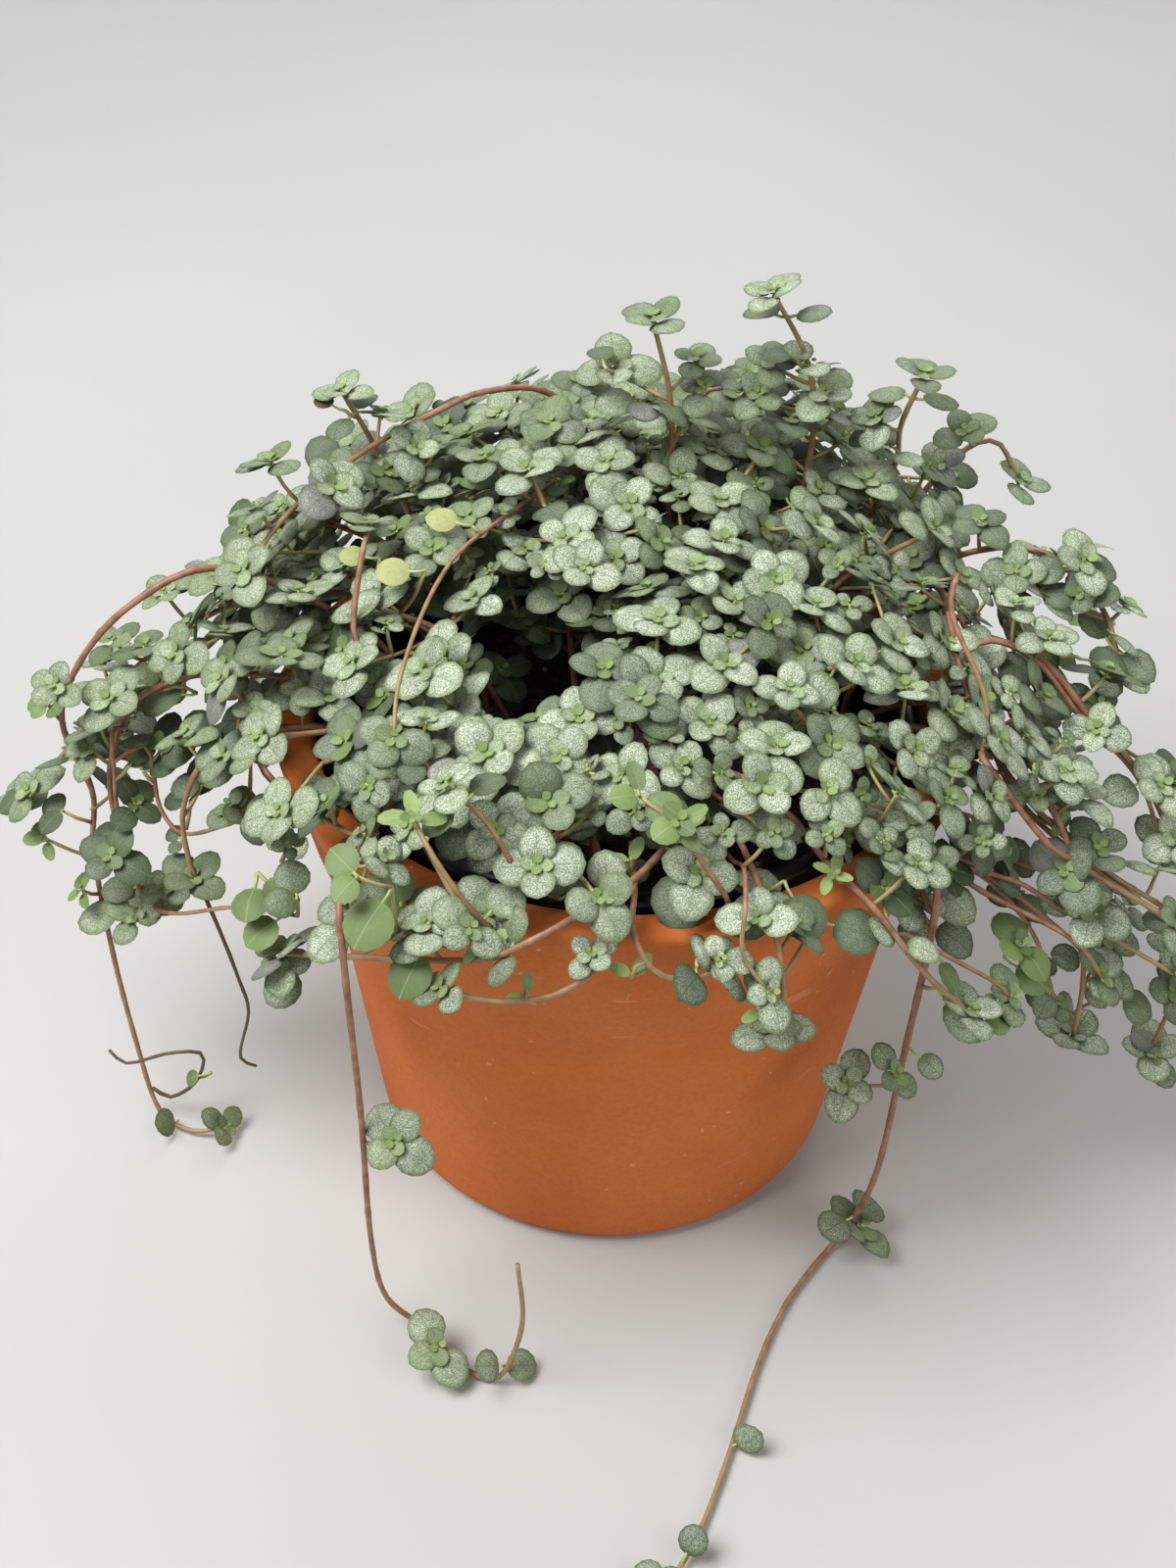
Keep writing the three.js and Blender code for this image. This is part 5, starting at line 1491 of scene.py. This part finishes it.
def ground_finish():
    finish = Finish("pale_ground")
    soft = finish.stretch(finish.noise(3), 0.3, 0.7)
    return finish.coat(finish.mix(soft, *GROUND_COLORS), 0.8)


# ---- Pieces -------------------------------------------------------------------------------------

CLAY_SEGMENTS, LINER_SEGMENTS, SOIL_SEGMENTS, SOIL_RINGS = 128, 96, 80, 26
SOIL_INSET, SOIL_WAVES, SOIL_GRAIN, GRAIN_WAVES = 1.6, (5.1, 6.3), 0.5, (1.9, 2.7, 1.6, 3.1)
CLAY_WALL_SHARES, CLAY_FOOT_OUT = (0.1, 0.3, 0.5, 0.7, 0.9, 1.0), 0.5
CORNER_STEPS, ROUNDING_STEPS = 8, 6
# Points of the outlines, each given as how far out and up it is from a corner of the pot.
CLAY_WALL_TOP, CLAY_BAND_TOP = (-0.6, -4), (-3.2, -12)
CLAY_SHOULDER = ((-0.1, -1.5), (0.5, 0), (1.2, 2), (2.1, 5))
CLAY_INNER_FOOT = ((0, 4), (-2, 0))
LINER_FOOT, LINER_NECK = ((-1, 0), (0, 1)), ((-0.4, -1), (0, 0))
LIP_UNDER, LIP_TOP = ((-0.3, 0), (0, 0.4)), ((0, -0.9), (-0.3, -0.2), (-0.9, 0))
LIP_INSIDE, LIP_INSIDE_FOOT = ((0.6, 0), (0, -0.5)), (-0.5, 0)
CRUMB_SIZES, CRUMB_KEY, GRIT_SIZES, GRIT_KEY, CRUMBS_PER_GRIT = (0.7, 2.2), 801, (0.6, 1.5), 802, 8
CRUMB_SPREAD, CRUMB_RISE, CRUMB_WIDTHS, CRUMB_HEIGHTS = 0.97, 0.2, (0.5, 1), (0.4, 0.8)


def place_piece(name, mesh, materials, node):
    obj = set_out(name, mesh)
    for material in materials:
        mesh.materials.append(material)
    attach(obj, "root")
    if node:
        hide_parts(node)


def arc_points(centre_r, centre_z, radius, start, end, steps):
    angles = [(start + (end - start) * i / steps) * DEGREE for i in range(steps + 1)]
    return [(centre_r + radius * math.cos(a), centre_z + radius * math.sin(a)) for a in angles]


def spun_mesh(name, profile, segments):
    """A closed wall spun round Z from its outline of (radius, height) points, both ends on the axis."""
    bm = bmesh.new()
    verts = [bm.verts.new((r * MM, 0, z * MM)) for r, z in profile]
    edges = [bm.edges.new(pair) for pair in zip(verts, verts[1:])]
    bmesh.ops.spin(bm, geom=verts + edges, cent=(0, 0, 0), axis=(0, 0, 1), angle=TAU, steps=segments,
                   use_merge=True, use_duplicate=False)
    bmesh.ops.remove_doubles(bm, verts=bm.verts[:], dist=1e-6)
    bmesh.ops.recalc_face_normals(bm, faces=bm.faces[:])
    return finished(name, bm)


def beside(radius, z, offsets):
    return [(radius + out, z + up) for out, up in offsets]


def cover_pot_mesh():
    inner_base, inner_rim = CLAY_BASE - CLAY_WALL, CLAY_RIM - CLAY_WALL
    lean = math.degrees(math.atan2(CLAY_BAND - CLAY_BASE, CLAY_BAND_Z))
    flare = math.degrees(math.atan2(CLAY_RIM - CLAY_BAND, CLAY_HEIGHT - CLAY_BAND_Z))
    corner_r = CLAY_BASE - CLAY_CORNER + CLAY_FOOT_OUT
    foot = arc_points(corner_r, CLAY_CORNER, CLAY_CORNER, -90, -lean, CORNER_STEPS)
    (start_r, start_z), [(end_r, end_z)] = foot[-1], beside(CLAY_BAND, CLAY_BAND_Z, [CLAY_WALL_TOP])
    wall = [(start_r + (end_r - start_r) * share, start_z + (end_z - start_z) * share)
            for share in CLAY_WALL_SHARES]
    round_z = CLAY_HEIGHT - CLAY_ROUNDING
    outer = arc_points(CLAY_RIM - CLAY_ROUNDING, round_z, CLAY_ROUNDING, -flare, 90, ROUNDING_STEPS)
    inner = arc_points(inner_rim + CLAY_ROUNDING, round_z, CLAY_ROUNDING, 90, 180, ROUNDING_STEPS)
    profile = [(0, 0), (CLAY_BASE - 2 * CLAY_CORNER, 0), *foot, *wall,
               *beside(CLAY_BAND, CLAY_BAND_Z, CLAY_SHOULDER),
               *beside(CLAY_RIM, CLAY_HEIGHT, [CLAY_BAND_TOP]), *outer, *inner,
               (CLAY_BAND - CLAY_WALL, CLAY_BAND_Z), *beside(inner_base, CLAY_FLOOR, CLAY_INNER_FOOT),
               (0, CLAY_FLOOR)]
    return spun_mesh("cover_pot", profile, CLAY_SEGMENTS)


def nursery_pot_mesh():
    foot = CLAY_FLOOR + GAP
    top = foot + LINER_HEIGHT
    under = top - LINER_LIP_DROP
    inner_top, inner_z = LINER_TOP - LINER_WALL, foot + LINER_WALL
    profile = [(0, foot), *beside(LINER_BASE, foot, LINER_FOOT), *beside(LINER_TOP, under, LINER_NECK),
               *beside(LINER_LIP, under, LIP_UNDER), *beside(LINER_LIP, top, LIP_TOP),
               *beside(inner_top, top, LIP_INSIDE), *beside(inner_top, under, [LIP_INSIDE_FOOT]),
               (LINER_BASE - LINER_WALL, inner_z), (0, inner_z)]
    return spun_mesh("thin_pot", profile, LINER_SEGMENTS)


def soil_height(x, y):
    """Broad lumps, as in the CAD part, and finer ones."""
    broad = SOIL_LUMP * math.sin(x / SOIL_WAVES[0] + 1) * math.cos(y / SOIL_WAVES[1])
    first, second, third, fourth = GRAIN_WAVES
    return broad + SOIL_GRAIN * math.sin(x / first + y / second) * math.cos(y / third - x / fourth)


def soil_mesh():
    bottom = CLAY_FLOOR + GAP + LINER_WALL + GAP
    slope = (LINER_TOP - LINER_BASE) / (LINER_HEIGHT - LINER_LIP_DROP)
    foot = LINER_BASE - LINER_WALL - SOIL_INSET
    edge = foot + slope * (SOIL_TOP - bottom)
    rings = [(edge * (1 - i / SOIL_RINGS), SOIL_TOP) for i in range(SOIL_RINGS)]
    profile = [(0, bottom), (foot, bottom), (edge, SOIL_TOP - 1), *rings, (0, SOIL_TOP)]
    mesh = spun_mesh("soil_fill", profile, SOIL_SEGMENTS)
    for vert in mesh.vertices:
        if vert.co.z > (SOIL_TOP - 0.5) * MM:
            vert.co.z += soil_height(vert.co.x / MM, vert.co.y / MM) * MM
    return mesh, edge


def crumbs_mesh(name, count, edge, sizes, key):
    """Crumbs lying on the soil, each a small lump of its own shape, sunk a little way in."""
    bm = bmesh.new()
    for i in range(count):
        spot = polar(edge * CRUMB_SPREAD * math.sqrt(draw(key, i, 1)), draw_between(0, TAU, key, i, 2))
        size = draw_between(*sizes, key, i, 3)
        spot[2] = SOIL_TOP + soil_height(spot[0], spot[1]) + size * CRUMB_RISE
        axis = Vector((draw(key, i, 5), draw(key, i, 6), 0.5))
        turn = Matrix.Rotation(draw_between(0, TAU, key, i, 4), 4, axis)
        width, height = draw_between(*CRUMB_WIDTHS, key, i, 7), draw_between(*CRUMB_HEIGHTS, key, i, 8)
        place = Matrix.Scale(MM, 4) @ Matrix.Translation(spot) @ turn
        place = place @ Matrix.Diagonal((size, size * width, size * height, 1))
        bmesh.ops.create_icosphere(bm, subdivisions=1, radius=1, matrix=place)
    return finished(name, bm, smooth=False)


# ---- The stage, in metres -----------------------------------------------------------------------

FLOOR_NEAR, FLOOR_FAR, SWEEP, SWEEP_STEPS, WALL_TOP, GROUND_WIDTH = -2.2, 0.9, 0.5, 12, 2.6, 5
ROOM_COLOR, ROOM_STRENGTH = (0.98, 1.0, 0.98, 1), 0.25
LIT_SPOT = (0, 0, 0.08)
# Each lamp: where it hangs, its share of the key light's power, and its size.
LAMPS = {
    "key": ((-0.55, -0.25, 1.05), 1, 0.7),
    "fill": ((0.9, -0.7, 0.8), 0.35, 1.0),
    "back": ((0.1, 0.9, 0.9), 0.35, 0.8),
}
CAMERA_SPOT, CAMERA_LENS, CAMERA_NEAR = (0, -0.318, 0.351), 45.0, 0.01
CAMERA_YAW, CAMERA_PITCH, CAMERA_ROLL = -0.019, 0.692, 0.033


def set_out(name, data):
    obj = bpy.data.objects.new(name, data)
    bpy.context.scene.collection.objects.link(obj)
    return obj


def set_lights(scene):
    scene.world = bpy.data.worlds.new("soft_room")
    scene.world.use_nodes = True
    room = scene.world.node_tree.nodes["Background"].inputs
    room["Color"].default_value = ROOM_COLOR
    room["Strength"].default_value = ROOM_STRENGTH
    for name, (spot, share, size) in LAMPS.items():
        lamp = bpy.data.lights.new(name, "AREA")
        lamp.energy, lamp.size = scene.potted_pilea.key_power * share, size
        obj = set_out(name, lamp)
        obj.location = spot
        obj.rotation_euler = (Vector(LIT_SPOT) - Vector(spot)).to_track_quat("-Z", "Y").to_euler()


def set_camera(scene):
    """Stands where the photograph was taken. The camera is turned, then tipped down, then rolled."""
    camera = bpy.data.cameras.new("camera")
    camera.lens, camera.clip_start = CAMERA_LENS, CAMERA_NEAR
    ahead = Vector((math.sin(CAMERA_YAW), math.cos(CAMERA_YAW), 0)) * math.cos(CAMERA_PITCH)
    ahead.z = -math.sin(CAMERA_PITCH)
    right = Vector((math.cos(CAMERA_YAW), -math.sin(CAMERA_YAW), 0))
    above = right.cross(ahead)
    rolled_right = right * math.cos(CAMERA_ROLL) + above * math.sin(CAMERA_ROLL)
    rolled_above = above * math.cos(CAMERA_ROLL) - right * math.sin(CAMERA_ROLL)
    turn = Matrix((rolled_right, rolled_above, -ahead)).transposed().to_4x4()
    scene.camera = set_out("camera", camera)
    scene.camera.matrix_world = Matrix.Translation(CAMERA_SPOT) @ turn
    scene.view_settings.view_transform = "Standard"


# ---- Settings and operators ---------------------------------------------------------------------


def color_property(name, description, default):
    return FloatVectorProperty(name=name, description=description, default=default, subtype="COLOR", size=3,
                               min=0, max=1)


class PileaSettings(bpy.types.PropertyGroup):
    """Colours and amounts that a user would change."""

    clay_color: color_property("Clay", "Main colour of the cover pot", (0.53, 0.128, 0.026))
    clay_light: color_property("Light clay", "Colour of the paler clouds in the clay", (0.60, 0.168, 0.042))
    leaf_green: color_property("Leaf green", "Green between the speckles of a leaf", (0.102, 0.15, 0.045))
    leaf_deep_green: color_property("Deep green", "Green of the darkest leaves", (0.036, 0.058, 0.022))
    leaf_silver: color_property("Silver", "Colour of the speckles", (0.77, 0.835, 0.69))
    leaf_young: color_property("Young leaf", "Colour of the newest leaves", (0.27, 0.37, 0.12))
    stem_color: color_property("Stem", "Colour of the older stems", (0.20, 0.078, 0.042))
    silver: FloatProperty(name="Silver amount", description="How far the speckles cover a leaf", default=0.96,
                          min=0, max=1, subtype="FACTOR")
    key_power: FloatProperty(name="Key light", description="Power of the large soft lamp", default=19, min=0,
                             unit="POWER")
    crumbs: IntProperty(name="Crumbs", description="Crumbs lying on the soil", default=420, min=0, max=2000)


class PILEA_OT_cover_pot(bpy.types.Operator):
    """Model the clay cover pot"""

    bl_idname = "pilea.cover_pot"
    bl_label = "Cover pot"

    def execute(self, context):
        material = clay_finish(context.scene.potted_pilea)
        place_piece("cover_pot", cover_pot_mesh(), [material], "terracotta_pot")
        return {"FINISHED"}


class PILEA_OT_nursery_pot(bpy.types.Operator):
    """Model the thin black pot inside the cover pot"""

    bl_idname = "pilea.nursery_pot"
    bl_label = "Nursery pot"

    def execute(self, context):
        place_piece("thin_pot", nursery_pot_mesh(), [liner_finish()], "nursery_pot")
        return {"FINISHED"}


class PILEA_OT_soil(bpy.types.Operator):
    """Model the soil and the crumbs and pale grit on it"""

    bl_idname = "pilea.soil"
    bl_label = "Soil"

    def execute(self, context):
        count = context.scene.potted_pilea.crumbs
        mesh, edge = soil_mesh()
        place_piece("soil_fill", mesh, [soil_finish()], "soil")
        crumbs = crumbs_mesh("soil_crumbs", count, edge, CRUMB_SIZES, CRUMB_KEY)
        place_piece("soil_crumbs", crumbs, [crumb_finish("bark_crumb", BARK_COLORS)], None)
        grit = crumbs_mesh("soil_grit", count // CRUMBS_PER_GRIT, edge, GRIT_SIZES, GRIT_KEY)
        place_piece("soil_grit", grit, [crumb_finish("pale_grit", GRIT_COLORS)], None)
        return {"FINISHED"}


class PILEA_OT_leafy_stems(bpy.types.Operator):
    """Grow all leafy stems, one piece for each"""

    bl_idname = "pilea.leafy_stems"
    bl_label = "Leafy stems"

    def execute(self, context):
        settings = context.scene.potted_pilea
        garden = Garden()
        garden.grow_frame()
        Foliage(garden).grow()
        stems = {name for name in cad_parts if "stem" in name or "sprig" in name}
        missing = stems ^ {plant.name for plant in garden.plants}
        if missing:
            raise RuntimeError(f"the grown stems are not those of the frame: {sorted(missing)}")
        upper, under = blade_upper_finish(settings), blade_under_finish()
        skins = [stem_finish(settings), leaf_stalk_finish(), upper, under]
        press = Press()
        for plant in garden.plants:
            place_piece(f"leafy_{plant.name}", leafy_stem_mesh(press, plant), skins, plant.name)
        press.clear()
        return {"FINISHED"}


class PILEA_OT_stage(bpy.types.Operator):
    """Set the pale ground, the soft lights and the camera"""

    bl_idname = "pilea.stage"
    bl_label = "Stage"

    def execute(self, context):
        bm = bmesh.new()
        profile = [(FLOOR_NEAR, 0), *arc_points(FLOOR_FAR, SWEEP, SWEEP, -90, 0, SWEEP_STEPS),
                   (FLOOR_FAR + SWEEP, WALL_TOP)]
        verts = [bm.verts.new((-GROUND_WIDTH / 2, y, z)) for y, z in profile]
        edges = [bm.edges.new(pair) for pair in zip(verts, verts[1:])]
        swept = bmesh.ops.extrude_edge_only(bm, edges=edges)["geom"]
        moved = [item for item in swept if isinstance(item, bmesh.types.BMVert)]
        bmesh.ops.translate(bm, verts=moved, vec=(GROUND_WIDTH, 0, 0))
        bmesh.ops.recalc_face_normals(bm, faces=bm.faces[:])
        mesh = finished("ground", bm)
        mesh.materials.append(ground_finish())
        set_out("ground", mesh)
        set_lights(context.scene)
        set_camera(context.scene)
        return {"FINISHED"}


class PILEA_PT_panel(bpy.types.Panel):
    """Lists the pieces and their settings"""

    bl_idname = "PILEA_PT_panel"
    bl_label = "Potted pilea"
    bl_space_type = "VIEW_3D"
    bl_region_type = "UI"
    bl_category = "Pilea"

    def draw(self, context):
        settings = context.scene.potted_pilea
        for name in PileaSettings.__annotations__:
            self.layout.prop(settings, name)
        for operator in OPERATORS:
            self.layout.operator(operator.bl_idname)


OPERATORS = (PILEA_OT_cover_pot, PILEA_OT_nursery_pot, PILEA_OT_soil, PILEA_OT_leafy_stems, PILEA_OT_stage)
CLASSES = (PileaSettings, *OPERATORS, PILEA_PT_panel)


def register():
    for cls in CLASSES:
        bpy.utils.register_class(cls)
    bpy.types.Scene.potted_pilea = PointerProperty(type=PileaSettings)


def unregister():
    del bpy.types.Scene.potted_pilea
    for cls in reversed(CLASSES):
        bpy.utils.unregister_class(cls)


def main():
    register()
    bpy.ops.pilea.cover_pot()
    bpy.ops.pilea.nursery_pot()
    bpy.ops.pilea.soil()
    bpy.ops.pilea.leafy_stems()
    bpy.ops.pilea.stage()


if __name__ == "__main__":
    main()
